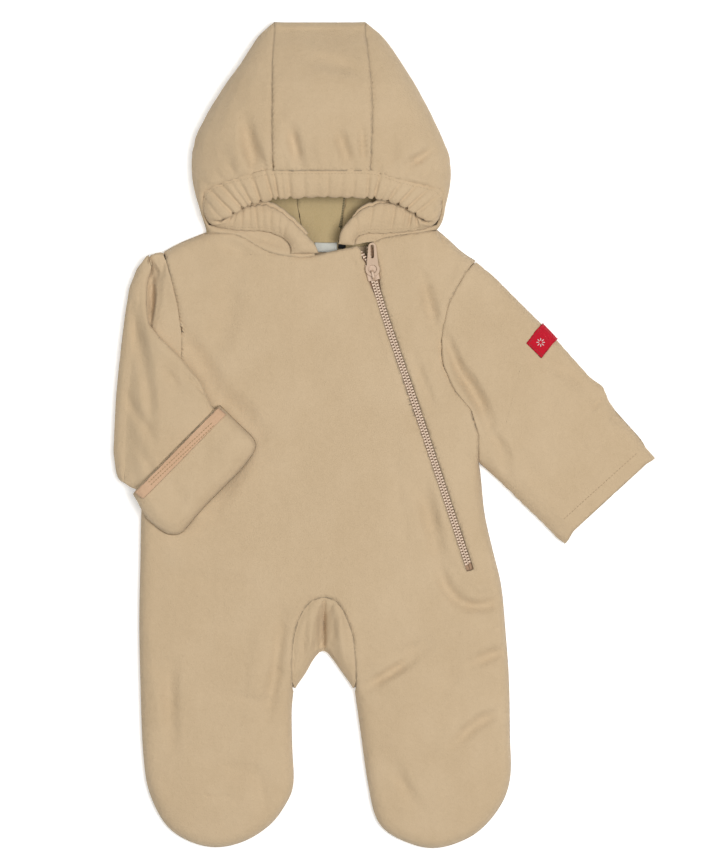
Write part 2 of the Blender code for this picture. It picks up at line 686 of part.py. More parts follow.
def left_sleeve_plan(s, t):
    """Plan points of the left sleeve at shares s from the armhole and t across."""
    start = moved(armhole_left, GAP / 2)
    over = pinned(overarm_left, start[0], overarm_left[-1])
    under = pinned(underarm_left[::-1], start[-1], underarm_left[0])
    return coons(start, cuff_left(), over, under, s, t)


def lift(xy):
    """How far the left sleeve is raised off the floor by the flap turned under its end."""
    end = cuff_left()
    run = unit(end[1] - end[0])
    up = np.abs((xy - end[0]) @ np.array([-run[1], run[0]]))
    return LIFT * (1 - fade((up - LIFT_END) / (LIFT_START - LIFT_END)))


def left_sleeve_side(xy, top):
    """Points and normals of the upper or lower side of the left sleeve."""
    points, normals = (upper if top else lower)(xy)
    raised = lift(xy)
    if top:
        points[:, 2] -= raised * 0.4
    else:
        height = (points[:, 2] - BASE_Z) / (SEAM_Z - BASE_Z)
        points[:, 2] += raised * (1 - 0.75 * np.clip(height, 0, 1))
    return points, normals


def ring_rows(plan, side_points):
    """Close a sleeve's rings: the upper side across, then the lower side back."""
    rows, across = plan.shape[:2]
    top, top_normal = side_points(plan.reshape(-1, 2), True)
    low, low_normal = side_points(plan.reshape(-1, 2), False)
    shape = (rows, across, 3)
    points = np.concatenate([top.reshape(shape), low.reshape(shape)[:, -2:0:-1]], axis=1)
    normals = np.concatenate([top_normal.reshape(shape),
                              low_normal.reshape(shape)[:, -2:0:-1]], axis=1)
    for edge in (0, across - 1):
        points[:, edge, 2] = 0.5 * (top.reshape(shape)[:, edge, 2] + low.reshape(shape)[:, edge, 2])
    return points, normals


def make_left_sleeve():
    """The straight left sleeve, the flap turned under its end, and its label."""
    plan = left_sleeve_plan(LEFT_RINGS, ACROSS)
    points, normals = ring_rows(plan, left_sleeve_side)
    faces = grid_faces(len(points), points.shape[1], closed=True)
    solid("left_sleeve", flat(points), flat(normals), faces, "fleece", FLEECE)
    make_sleeve_label(points, normals)
    make_left_flap()


def make_left_flap():
    """The flap turned under the end of the left sleeve, flat on the floor."""
    edge = moved(smooth(LEFT_FLAP, 8), 0.6)
    boundary = np.vstack([edge, smooth([LEFT_FLAP[-1], LEFT_FLAP_REST[0], LEFT_FLAP_REST[1]], 16)
                          [1:], np.array(LEFT_FLAP_REST[2:])])
    boundary[0] += (-2.0, -0.4)
    boundary = boundary[::-1]
    under = Layer([edge[::-1]], 4.0, 2.4, BASE_Z)
    xy, faces = faces_over(boundary, panel_points(boundary, [edge], (-1.0, -3.0), (), 26))
    points, normals = under(xy)
    solid("left_mitten_flap", points, normals, faces, "fleece", FLEECE)



def make_sleeve_label(points, normals):
    """The label over the sleeve's upper edge, made from the sleeve's own points moved out."""
    columns = list(LABEL_TOP) + [-k for k in LABEL_UNDER]
    on = points[np.ix_(LABEL_RINGS, columns)]
    ways = normals[np.ix_(LABEL_RINGS, columns)]
    grid = on + ways * (WALL / 2 + GAP + LABEL_WALL / 2)
    solid("sleeve_label", flat(grid), flat(ways), grid_faces(*grid.shape[:2]), "label_red",
          LABEL_RED, LABEL_WALL)


def page_axis():
    """Plan curve of the line about which the right sleeve is turned back."""
    reach = PAGE_RADIUS + PAGE_HALF + WALL / 2
    return moved(smooth(PAGE_EDGE, 6), reach)


def page_height(xy):
    """Height of the lower layer's upper wall beside the page fold, and its slope."""
    far = nearest([page_axis()], xy)[0]
    share = np.clip(far / PAGE_CLIMB, 0, 1)
    low = PAGE_Z - PAGE_RADIUS + PAGE_HALF
    slope = (TOP_Z - low) * 6 * share * (1 - share) / PAGE_CLIMB
    return low + (TOP_Z - low) * fade(share), slope, share


def edge_share(plan):
    """0 at the sleeve's edges and 1 where its walls lie flat, round like a tube's end."""
    step = np.linalg.norm(np.diff(plan, axis=1), axis=2)
    run = np.concatenate([np.zeros((len(plan), 1)), np.cumsum(step, axis=1)], axis=1)
    near = np.minimum(run, run[:, -1:] - run)
    return np.sqrt(1 - (1 - np.clip(near / SLEEVE_ROLL, 0, 1)) ** 2)


def join_walls(front_wall, back_wall):
    """Rings that run across the front wall and return over the back wall."""
    ends = 0.5 * (front_wall[:, [0, -1]] + back_wall[:, [0, -1]])
    return np.concatenate([ends[:, :1], front_wall[:, 1:-1], ends[:, 1:],
                           back_wall[:, -2:0:-1]], axis=1)


def lifted(plan, z):
    """A plan grid with heights."""
    return np.concatenate([plan, z[..., None]], axis=2)


def top_edges():
    """Plan curves of the turned layer's upper and lower edges, from the page fold to the cuff."""
    axis = page_axis()
    over = np.vstack([TOP_OVERARM, cuff_point(*zip(*SLEEVE_OVER_END))])
    over = moved(smooth(over, 5), -WALL / 2)
    under = moved(smooth(cuff_point(*zip(*SLEEVE_UNDER_END)), 5), WALL / 2)
    return np.vstack([axis[:1], over]), np.vstack([axis[-1:], under])


def right_sleeve_rings():
    """Rings of the right sleeve from the armhole, round the page fold, to its end."""
    axis = page_axis()
    over, under = top_edges()
    side = ACROSS
    start = moved(armhole_right, -GAP / 2)
    cap = smooth([tuple(start[0]), (-204.5, 159.5), tuple(axis[0])], 4)
    base = smooth([tuple(start[-1]), (-224, -35.5), tuple(axis[-1])], 4)
    plan = coons(start, axis, cap, base, (0, 0.16, 0.34, 0.5, 0.64, 0.77, 0.89, 1), side)
    grid = plan.reshape(-1, 2)
    shape = plan.shape[:2]
    share = edge_share(plan)
    high = page_height(grid)[0].reshape(shape)
    s = np.linspace(0, 1, shape[0])[:, None]
    middle = SEAM_Z + (PAGE_Z - PAGE_RADIUS - SEAM_Z) * s
    front_z = middle + (high - middle) * share
    back_z = middle + (BASE_Z - middle) * share
    field_top = upper(grid)[0][:, 2].reshape(shape)
    field_low = lower(grid)[0][:, 2].reshape(shape)
    front_z[0], back_z[0] = field_top[0], field_low[0]
    blend = 0.5
    front_z[1] = blend * field_top[1] + (1 - blend) * np.minimum(front_z[1], TOP_Z)
    back_z[1] = blend * field_low[1] + (1 - blend) * back_z[1]
    rings = [join_walls(lifted(plan, front_z), lifted(plan, back_z))]

    out = -normals_2d(axis)
    on_axis, ways = at(axis, side), unit(at(np.column_stack([axis, out]), side)[:, 2:])
    share = edge_share(on_axis[None])[0]
    for angle in TURN_ANGLES:
        turn = math.radians(angle)
        radial = np.column_stack([ways * math.sin(turn), np.full(len(side), -math.cos(turn))])
        middle = np.column_stack([on_axis, np.full(len(side), PAGE_Z)])
        front_wall = middle + radial * (PAGE_RADIUS - PAGE_HALF * share)[:, None]
        back_wall = middle + radial * (PAGE_RADIUS + PAGE_HALF * share)[:, None]
        rings.append(join_walls(front_wall[None], back_wall[None]))

    plan = coons(axis, np.vstack([over[-1], under[-1]]), over, under,
                 TURNED_RINGS, side, PAGE_HOLD)
    high, slope, near = (v.reshape(plan.shape[:2]) for v in page_height(plan.reshape(-1, 2)))
    apart = LAYERS_APART * np.sqrt(1 + slope ** 2)
    apart += (2 * (PAGE_RADIUS - PAGE_HALF) - LAYERS_APART) * (1 - near) ** 2
    share = edge_share(plan)
    middle = high + apart + PAGE_HALF
    front_wall = lifted(plan, middle - PAGE_HALF * share)
    back_wall = lifted(plan, middle + PAGE_HALF * share)
    rings.append(join_walls(front_wall, back_wall))
    return np.concatenate(rings)


def cuff_point(along, up):
    """Plan points of the right cuff from distances along it and up the sleeve."""
    way = unit(np.array(RIGHT_CUFF_WAY))
    rise = np.array([-way[1], way[0]])
    return np.array(RIGHT_CUFF) + np.outer(along, way) + np.outer(up, rise)


def make_right_sleeve():
    """The right sleeve folded over the body, its flap turned back on top, and the flap's hem."""
    rings = right_sleeve_rings()
    normals = grid_normals(rings, closed=True)
    first = moved(armhole_right, -GAP / 2)
    top_normal, low_normal = upper(first)[1], lower(first)[1]
    sign = np.sign(np.sum(normals[0, :len(first)] * top_normal, axis=1).sum())
    normals = normals * sign
    normals[0] = np.concatenate([top_normal, low_normal[-2:0:-1]])
    faces = grid_faces(len(rings), rings.shape[1], closed=True)
    solid("right_sleeve", flat(rings), flat(normals), faces, "fleece", FLEECE)

    sleeve_top = TOP_Z + LAYERS_APART + 2 * PAGE_HALF + WALL / 2
    top_z = sleeve_top + GAP + WALL / 2 + 0.3
    sides = [cuff_point(*zip(*table[::-1])) for table in
             (FLAP_SIDE_OVER, FLAP_END, FLAP_SIDE_UNDER)]
    edge = moved(np.vstack([smooth(sides[0], 7), smooth(sides[1], 12)[1:],
                            smooth(sides[2], 7)[1:]]), -WALL / 2)
    (first, first_up), (last, last_up) = FLAP_HEM
    hem_along = np.linspace(first + 6, last - 6, 7)
    hem_up = np.interp(hem_along, (first, last), (first_up, last_up))
    boundary = np.vstack([edge, cuff_point(hem_along, hem_up)])
    long_edge = extended(extended(edge, 20)[::-1], 20)[::-1]
    layer = Layer([long_edge], FLAP_ROLL, top_z - FLAP_REACH, top_z)
    xy, faces = faces_over(boundary, panel_points(boundary, [edge], (1.2, 3.5, 8), (), 20))
    points, normals = layer(xy)
    solid("right_mitten_flap", points, normals, faces, "fleece", FLEECE)

    along = np.concatenate([(-8.5, -6, -2), np.linspace(6, 80, 6), (88, 91.5, 94)])
    rows, ways = [], []
    for inset in (HEM_INSET, HEM_INSET + HEM_WIDTH / 2, HEM_INSET + HEM_WIDTH):
        up = np.interp(along, (first, last), (first_up, last_up)) - inset
        points, normals = layer(cuff_point(along, up))
        rows.append(points + normals * (WALL / 2 + 2 * GAP + HEM_WALL / 2))
        ways.append(normals)
    grid = np.array(rows)
    solid("right_flap_hem", flat(grid), flat(np.array(ways)), grid_faces(*grid.shape[:2]),
          "fleece_hem", FLEECE_HEM, HEM_WALL)


# Hood

def turn_points(count):
    """y and z of the hood's top end, from its upper side round to the back."""
    y0, reach = HOOD_END
    top = HOOD_ROWS[0][5] - 2.0
    middle, half = (top + BASE_Z) / 2, (top - BASE_Z) / 2
    angles = np.radians(np.linspace(90, -90, count))
    return np.column_stack([y0 + reach * np.cos(angles), middle + half * np.sin(angles)])


def make_hood():
    """The three hood panels, built as one grid across each row so that their seams match."""
    across = np.array(CENTRE_SHARES)
    bulge = 1 - (2 * across - 1) ** 2
    rows = []
    for y, _, _, seam_r, seam_l, z, *_ in HOOD_ROWS[::-1]:
        grow = HOOD_BULGE * min(1.0, (370 - y) / 50)
        xs = seam_r + HOOD_GAP / 2 + across * (seam_l - seam_r - HOOD_GAP)
        rows.append(np.column_stack([xs, np.full(len(xs), y), z + grow * bulge]))
    columns = len(BASE_SHARES) + 1 + len(TOP_SHARES)
    first = HOOD_ROWS[0]
    xs = first[3] + HOOD_GAP / 2 + across * (first[4] - first[3] - HOOD_GAP)
    for y, z in turn_points(columns):
        rows.append(np.column_stack([xs, np.full(len(xs), y), np.full(len(xs), z)]))
    for row in HOOD_ROWS:
        back_r, back_l = row[6], row[7]
        xs = back_r + HOOD_GAP / 2 + across * (back_l - back_r - HOOD_GAP)
        rows.append(np.column_stack([xs, np.full(len(xs), row[0]), np.full(len(xs), BASE_Z)]))
    for row in FACE_ROWS:
        back_r, back_l = row[7], row[8]
        xs = back_r + HOOD_GAP / 2 + across * (back_l - back_r - HOOD_GAP)
        rows.append(np.column_stack([xs, np.full(len(xs), row[0]), np.full(len(xs), BASE_Z)]))
    neck = neck_points(neck_back, CENTRE_X) + (0, GAP)
    neck[0, 0] += HOOD_GAP / 2
    neck[-1, 0] -= HOOD_GAP / 2
    rows.append(np.column_stack([neck, np.full(len(neck), BASE_Z)]))
    centre = np.array(rows)
    centre[0, :, 1] += 0.2
    normals = grid_normals(centre)
    normals *= np.sign(normals[2, 3, 2])
    for edge in (0, -1):
        normals[len(HOOD_ROWS):, edge, 0] = 0
    normals = unit(normals)
    faces = grid_faces(len(centre), len(across))
    solid("hood_centre", flat(centre), flat(normals), faces, "fleece", FLEECE)
    make_hood_side("hood_right_side", -1, centre[:, 0], normals[:, 0], columns)
    make_hood_side("hood_left_side", 1, centre[:, -1], normals[:, -1], columns)


def side_row(y, outline, base_seam, start, start_z, fold_z):
    """One row of a side panel: along the back, up round the outline, over to its upper edge."""
    points = []
    for share in BASE_SHARES:
        x = outline + share * (base_seam - outline)
        cos = 1 - min(abs(x - outline) / HOOD_ROLL, 1)
        points.append((x, y, fold_z - (fold_z - BASE_Z) * math.sqrt(1 - cos ** 2)))
    points.append((outline, y, fold_z))
    for share in TOP_SHARES:
        x = outline + share * (start - outline)
        points.append((x, y, fold_z + (start_z - fold_z) * (1 - (1 - share) ** 2.4) ** 0.5))
    return points


def make_hood_side(name, side, seam, seam_normals, columns):
    """A side panel of the hood with the strip that runs under the casing to the chin."""
    right = side < 0
    top_count = len(HOOD_ROWS)
    shift = np.array([side * HOOD_GAP, 0, 0])
    turn = seam[top_count:top_count + columns][::-1] + shift
    grid = [turn]
    for index, row in enumerate(HOOD_ROWS):
        outline, start, base = (row[1], row[3], row[6]) if right else (row[2], row[4], row[7])
        made = np.array(side_row(row[0], outline, base, start, row[5], row[8]))
        made[0] = seam[top_count + columns + index] + shift
        made[-1] = seam[top_count - 1 - index] + shift
        grid.append(made)
    for index, row in enumerate(FACE_ROWS):
        y, base, fold_z = row[0], row[7] if right else row[8], row[9]
        outline, start, start_z = (row[1], row[3], row[4]) if right else (row[2], row[5], row[6])
        made = np.array(side_row(y, outline, base, start, start_z, fold_z))
        made[0] = seam[2 * top_count + columns + index] + shift
        grid.append(made)

    corner = shoulder_right[-1] if right else shoulder_left[0]
    base_x = NECK_SEAM_X[0] if right else NECK_SEAM_X[1]
    neck_xs = front_neck_xs()[0 if right else 1]
    base_count = len(BASE_SHARES)
    low_xs = [corner[0] + share * (base_x - corner[0]) for share in BASE_SHARES]
    low_row, low_ways = lower(neck_points(neck_back, low_xs))
    top_row, top_ways = upper(neck_points(neck_front, neck_xs[:len(NECK_SHARES)]))
    edge_row, edge_ways = upper(corner[None])
    made = np.vstack([low_row, edge_row, top_row]) + (0, GAP, 0)
    made[base_count, 2] = SEAM_Z
    made[0] = seam[-1] + shift
    neck_ways = np.vstack([low_ways, edge_ways, top_ways])
    grid.append(made)
    grid = np.array(grid)
    normals = grid_normals(grid)
    normals *= np.sign(normals[5, -3, 2])
    base_rows = np.r_[top_count + columns:len(seam)]
    normals[1:, 0] = seam_normals[base_rows]
    normals[1:1 + top_count, -1] = seam_normals[:top_count][::-1]
    normals[0] = seam_normals[top_count:top_count + columns][::-1]
    normals[-1, 1:] = neck_ways[1:]

    xs = np.array(neck_xs[len(NECK_SHARES):] + ([] if right else list(TONGUE_OVER_ZIP)), float)
    low = neck_points(neck_front, xs)
    stitch = np.array(CASING)
    stitch = stitch[:7] if right else stitch[20:]
    order = np.argsort(stitch[:, 0])
    high_y = np.interp(xs, stitch[order, 0], stitch[order, 1]) + 1.0
    high_z = np.interp(xs, stitch[order, 0], stitch[order, 2]) - (CASING_THICK + WALL) / 2 - 0.7
    low_points, low_normals = upper(low)
    low_points[:, 1] += GAP
    low_points[:, 1] += np.where(xs < TONGUE_LEFT_X[-1], ZIP_CLEAR * (side > 0), 0)
    high_points = np.column_stack([xs, np.maximum(high_y, low[:, 1] + 4.5),
                                   np.minimum(high_z, low_points[:, 2] + 0.5)])
    rows, count = grid.shape[:2]
    points = np.vstack([flat(grid), high_points, low_points])
    faces = grid_faces(rows, count)
    start, width = rows * count, len(xs)
    faces.append([(rows - 2) * count + count - 1, start, start + width, rows * count - 1])
    for k in range(width - 1):
        faces.append([start + k, start + k + 1, start + width + k + 1, start + width + k])
    high_normals = unit(low_normals * 0.5 + np.array([0, 0.1, 0.7]))
    all_normals = np.vstack([flat(normals), high_normals, low_normals])
    solid(name, points, all_normals, faces, "fleece", FLEECE)


def gather_places(total):
    """Places along the casing, in shares of its length, and its extra thickness at each."""
    marks = {}
    for start, end, count, depth in GATHERS:
        pitch = (end - start) / count
        for k in range(count):
            uneven = 0.16 * math.sin(2.3 * k + 40 * start)
            marks[start + (k + 0.5 + uneven) * pitch] = depth * (0.8 + 0.2 * math.sin(3.1 * k))
            marks[start + k * pitch] = -depth * (0.75 + 0.25 * math.cos(1.9 * k))
        marks[end] = -depth / 2
    for place in np.linspace(0, 1, round(total / CASING_STEP) + 1):
        if min(abs(place - mark) for mark in marks) > 0.7 * CASING_STEP / total:
            marks[float(place)] = 0.0
    places = np.array(sorted(marks))
    return places, np.array([marks[place] for place in places])


def make_casing():
    """The elastic casing round the face opening, gathered along its whole length."""
    table = np.array(CASING, float)
    step = np.linalg.norm(np.diff((table[:, :3] + table[:, 3:]) / 2, axis=0), axis=1)
    run = np.concatenate([[0], np.cumsum(step)]) / step.sum()
    places, waves = gather_places(step.sum())
    stitched = np.stack([np.interp(places, run, table[:, k]) for k in range(3)], -1)
    free = np.stack([np.interp(places, run, table[:, k]) for k in range(3, 6)], -1)
    width = free - stitched
    along = np.gradient((stitched + free) / 2, axis=0)
    normal = unit(np.cross(along, width))
    normal *= np.sign(normal[len(normal) // 2, 2])
    rings = []
    for i in range(len(places)):
        end = min(i, len(places) - 1 - i)
        swell = (0.45, 0.85)[end] if end < 2 else 1.0
        half = (CASING_THICK / 2 + waves[i]) * swell
        reach = 1 + 0.04 * waves[i]
        ring = []
        for across, high in ((0.03, 0), (0.12, 0.62), (0.38, 1), (0.68, 1), (0.93 * reach, 0.62),
                             (reach, 0), (0.93 * reach, -0.62), (0.68, -1), (0.38, -1),
                             (0.12, -0.62)):
            ring.append(stitched[i] + width[i] * across + normal[i] * half * high)
        rings.append(ring)
    grid = np.array(rings)
    mesh = bpy.data.meshes.new("hood_casing")
    bm = bmesh.new()
    verts = [bm.verts.new(Vector(p) * MM) for p in flat(grid)]
    for face in grid_faces(len(grid), grid.shape[1], closed=True):
        bm.faces.new([verts[k] for k in face])
    for first in (0, len(verts) - grid.shape[1]):
        bm.faces.new(verts[first:first + grid.shape[1]])
    bmesh.ops.recalc_face_normals(bm, faces=bm.faces)
    bm.to_mesh(mesh)
    bm.free()
    add_object("hood_casing", mesh, "fleece", FLEECE)


# Zip

def zip_strip(name, distances, inner, outer, drop, wall, slot, look):
    """A strip beside the zip's centre line, moved out of the front's own points."""
    rows = []
    ways = []
    for share in (0, ZIP_MIDDLE, 1):
        offset = np.asarray(inner) + share * (np.asarray(outer) - np.asarray(inner))
        points, normals = upper(zip_offset(distances, offset))
        rows.append(points - normals * drop)
        ways.append(normals)
    grid, normals = np.array(rows), np.array(ways)
    solid(name, flat(grid), flat(normals), grid_faces(*grid.shape[:2]), slot, look, wall)


def make_zip():
    """Both tapes and both rows of teeth, open above the slider and closed below it."""
    stations = np.array([ZIP_START] + ZIP_STATIONS[1:-1] + [ZIP_LENGTH - 2])
    spread = GAP / 2 + TEETH_SPREAD * np.clip(1 - stations / SPREAD_END, 0, 1)
    tape_stations = np.array(list(stations[:-1]) + [ZIP_LENGTH + 0.0])
    for side, word in ((1, "left"), (-1, "right")):
        zip_strip(f"zip_teeth_{word}", stations, side * spread, side * (spread + TEETH_HALF),
                  TEETH_DROP, TEETH_WALL, "zip_plastic", ZIP_PLASTIC)
        zip_strip(f"zip_tape_{word}", tape_stations, side * spread, side * (spread + TAPE_WIDTH),
                  TAPE_DROP, TAPE_WALL, "zip_tape", ZIP_TAPE)


def zip_frame(distance, z, heading=0.0):
    """A frame on the zip: its X across to the wearer's left, its Y up the zip to the neck."""
    here = zip_offset([distance], [0.0])[0]
    before = zip_offset([distance - 4], [0.0])[0]
    way = before - here
    angle = math.atan2(way[1], way[0]) - math.pi / 2 + math.radians(heading)
    place = Matrix.Translation((here[0] * MM, here[1] * MM, z * MM))
    return place @ Matrix.Rotation(angle, 4, "Z")


def extruded(name, outline, low, high, way):
    """A mesh of an outline in x and z run along y, or in x and y run along z."""
    mesh = bpy.data.meshes.new(name)
    bm = bmesh.new()
    if way == "Y":
        verts = [bm.verts.new((a * MM, low * MM, b * MM)) for a, b in outline]
        push = Vector((0, (high - low) * MM, 0))
    else:
        verts = [bm.verts.new((low * MM, a * MM, b * MM)) for a, b in outline]
        push = Vector(((high - low) * MM, 0, 0))
    face = bm.faces.new(verts)
    made = bmesh.ops.extrude_face_region(bm, geom=[face])
    moving = [v for v in made["geom"] if isinstance(v, bmesh.types.BMVert)]
    bmesh.ops.translate(bm, verts=moving, vec=push)
    bmesh.ops.recalc_face_normals(bm, faces=bm.faces)
    bm.to_mesh(mesh)
    bm.free()
    return mesh


def make_slider():
    """The slider over the teeth, with the crown that holds the pull."""
    plate_low, plate_high = PLATE_Z
    channel = [(-SLIDER_HALF, SKIRT_Z), (-SLIDER_HALF, plate_high - 0.5),
               (-SLIDER_HALF + 0.8, plate_high), (SLIDER_HALF - 0.8, plate_high),
               (SLIDER_HALF, plate_high - 0.5), (SLIDER_HALF, SKIRT_Z),
               (SLIDER_INNER, SKIRT_Z), (SLIDER_INNER, plate_low),
               (-SLIDER_INNER, plate_low), (-SLIDER_INNER, SKIRT_Z)]
    half = SLIDER_LENGTH / 2
    body = add_object("zip_slider", extruded("zip_slider", channel, -half, half, "Y"),
                      "zip_plastic", ZIP_PLASTIC)
    body.matrix_world = zip_frame(SLIDER_AT, 0)

    inner, outer = CROWN_HALF
    centre = SLIDER_AT - PULL_AXIS_AT
    rise = PULL_AXIS_Z + CROWN_RISE
    foot = plate_high - 0.4
    arch_line = [(centre - outer, foot), (centre - outer, rise), (centre - inner, rise + CROWN_BAR),
                 (centre + inner, rise + CROWN_BAR), (centre + outer, rise), (centre + outer, foot),
                 (centre + inner, foot), (centre + inner, rise), (centre - inner, rise),
                 (centre - inner, foot)]
    crown = add_object("crown_shape", extruded("crown_shape", arch_line, -CROWN_WIDTH / 2,
                                               CROWN_WIDTH / 2, "X"), "zip_plastic", ZIP_PLASTIC)
    crown.matrix_world = body.matrix_world
    crown.hide_render = True
    crown.display_type = "WIRE"
    join = body.modifiers.new("crown", "BOOLEAN")
    join.operation = "UNION"
    join.solver = "EXACT"
    join.object = crown


def spline(curve, points):
    """Add a closed straight-sided spline to a flat curve."""
    made = curve.splines.new("POLY")
    made.points.add(len(points) - 1)
    for place, (x, y) in zip(made.points, points):
        place.co = (x * MM, y * MM, 0, 1)
    made.use_cyclic_u = True


def arc(centre, radius, start, end, count):
    """Points of an arc about a point on the pull's middle line."""
    angles = np.radians(np.linspace(start, end, count))
    return [(radius * math.cos(a), centre + radius * math.sin(a)) for a in angles]


def make_pull():
    """The pull: an eye round the crown and a slotted tab that lies towards the neck."""
    eye = EYE_INNER + EYE_RIM
    end = eye + PULL_LENGTH - PULL_HALF
    outline = arc(eye, EYE_OUTER, 145, 395, 17) + arc(end, PULL_HALF, 0, 180, 7)
    low, high, half = PULL_SLOT
    slot = arc(eye + high - half, half, 0, 180, 5) + arc(eye + low + half, half, 180, 360, 5)
    flat_curve = bpy.data.curves.new("zip_pull", "CURVE")
    flat_curve.dimensions = "2D"
    flat_curve.fill_mode = "BOTH"
    flat_curve.extrude = PULL_WALL / 2 * MM
    spline(flat_curve, outline)
    spline(flat_curve, arc(eye, EYE_INNER, 0, 337.5, 16))
    spline(flat_curve, slot)
    flat_curve.materials.append(material("zip_plastic", ZIP_PLASTIC))
    pull = bpy.data.objects.new("zip_pull", flat_curve)
    bpy.data.collections[COLLECTION].objects.link(pull)
    pull.matrix_world = (zip_frame(PULL_AXIS_AT, PULL_AXIS_Z, -PULL_HEADING)
                         @ Matrix.Rotation(math.radians(-PULL_TILT), 4, "X"))


def make_neck_labels():
    """The bare label and the size tab lying inside the neck."""
    for name, (x, y, wide, deep), slot, look in (
            ("neck_label", NECK_LABEL, "label_grey", LABEL_GREY),
            ("neck_tab", NECK_TAB, "tab_black", TAB_BLACK)):
        mesh = bpy.data.meshes.new(name)
        bm = bmesh.new()
        bmesh.ops.create_cube(bm, size=1.0)
        bmesh.ops.scale(bm, vec=(wide * MM, deep * MM, LABEL_WALL * MM), verts=bm.verts)
        bm.to_mesh(mesh)
        bm.free()
        made = add_object(name, mesh, slot, look)
        made.location = (x * MM, y * MM, (WALL + GAP + LABEL_WALL / 2) * MM)


def main():
    """Clear the scene and build the suit."""
    for item in list(bpy.data.objects):
        bpy.data.objects.remove(item)
    collection = bpy.data.collections.new(COLLECTION)
    bpy.context.scene.collection.children.link(collection)
    make_body()
    make_left_sleeve()
    make_right_sleeve()
    make_hood()
    make_casing()
    make_zip()
    make_slider()
    make_pull()
    make_neck_labels()
    bpy.context.view_layer.update()


main()
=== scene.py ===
"""Looks of a hooded fleece bunting suit that lies flat on its back, seen from straight above.

Right and left are the wearer's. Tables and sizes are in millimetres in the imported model's frame:
+X is the wearer's left, +Y is towards the hood and +Z is up out of the front.
"""

from __future__ import annotations

import logging
import math
from collections.abc import Sequence
from dataclasses import dataclass, replace
from enum import Enum
from typing import ClassVar

import bmesh
import bpy
import numpy as np
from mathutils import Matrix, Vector
from mathutils.bvhtree import BVHTree
from mathutils.kdtree import KDTree

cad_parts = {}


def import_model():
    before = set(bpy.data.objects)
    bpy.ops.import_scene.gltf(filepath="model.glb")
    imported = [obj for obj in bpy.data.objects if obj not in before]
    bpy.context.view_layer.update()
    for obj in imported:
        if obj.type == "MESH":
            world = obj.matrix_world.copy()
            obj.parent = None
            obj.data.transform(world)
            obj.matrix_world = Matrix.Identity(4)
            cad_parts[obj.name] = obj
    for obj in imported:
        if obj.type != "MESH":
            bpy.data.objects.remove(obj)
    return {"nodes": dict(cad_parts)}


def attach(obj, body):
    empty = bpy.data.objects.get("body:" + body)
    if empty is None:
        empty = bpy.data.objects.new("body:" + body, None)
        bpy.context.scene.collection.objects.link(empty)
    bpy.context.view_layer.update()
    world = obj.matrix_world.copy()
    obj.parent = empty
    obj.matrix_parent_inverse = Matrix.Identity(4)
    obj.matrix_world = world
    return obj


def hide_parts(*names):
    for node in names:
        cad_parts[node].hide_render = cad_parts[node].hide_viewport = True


MM = 0.001
GARMENT = "garment"
PULL = "pull"
FACES_UP = 0.3

Colour = tuple[float, float, float]
Place = tuple[float, float, float]
log = logging.getLogger("suit")


# Shader tools

class Wire:
    """An output of a node, or a number, that takes part in shader maths."""

    def __init__(self, graph: Graph, socket: bpy.types.NodeSocket) -> None:
        """Hold a socket and the graph that it belongs to."""
        self.graph = graph
        self.socket = socket

    def math(self, operation: str, first: Wire | float, second: Wire | float) -> Wire:
        """Add one Math node.

        Args:
            operation: The Math node's operation.
            first: The first value.
            second: The second value.

        Returns:
            The node's result.
        """
        return self.graph.add("ShaderNodeMath", {"operation": operation}, {0: first, 1: second})

    def __add__(self, other: Wire | float) -> Wire:
        """Add."""
        return self.math("ADD", self, other)

    def __radd__(self, other: float) -> Wire:
        """Add to a number."""
        return self.math("ADD", other, self)

    def __sub__(self, other: Wire | float) -> Wire:
        """Subtract."""
        return self.math("SUBTRACT", self, other)

    def __rsub__(self, other: float) -> Wire:
        """Subtract from a number."""
        return self.math("SUBTRACT", other, self)

    def __mul__(self, other: Wire | float) -> Wire:
        """Multiply."""
        return self.math("MULTIPLY", self, other)

    def __rmul__(self, other: float) -> Wire:
        """Multiply a number."""
        return self.math("MULTIPLY", other, self)


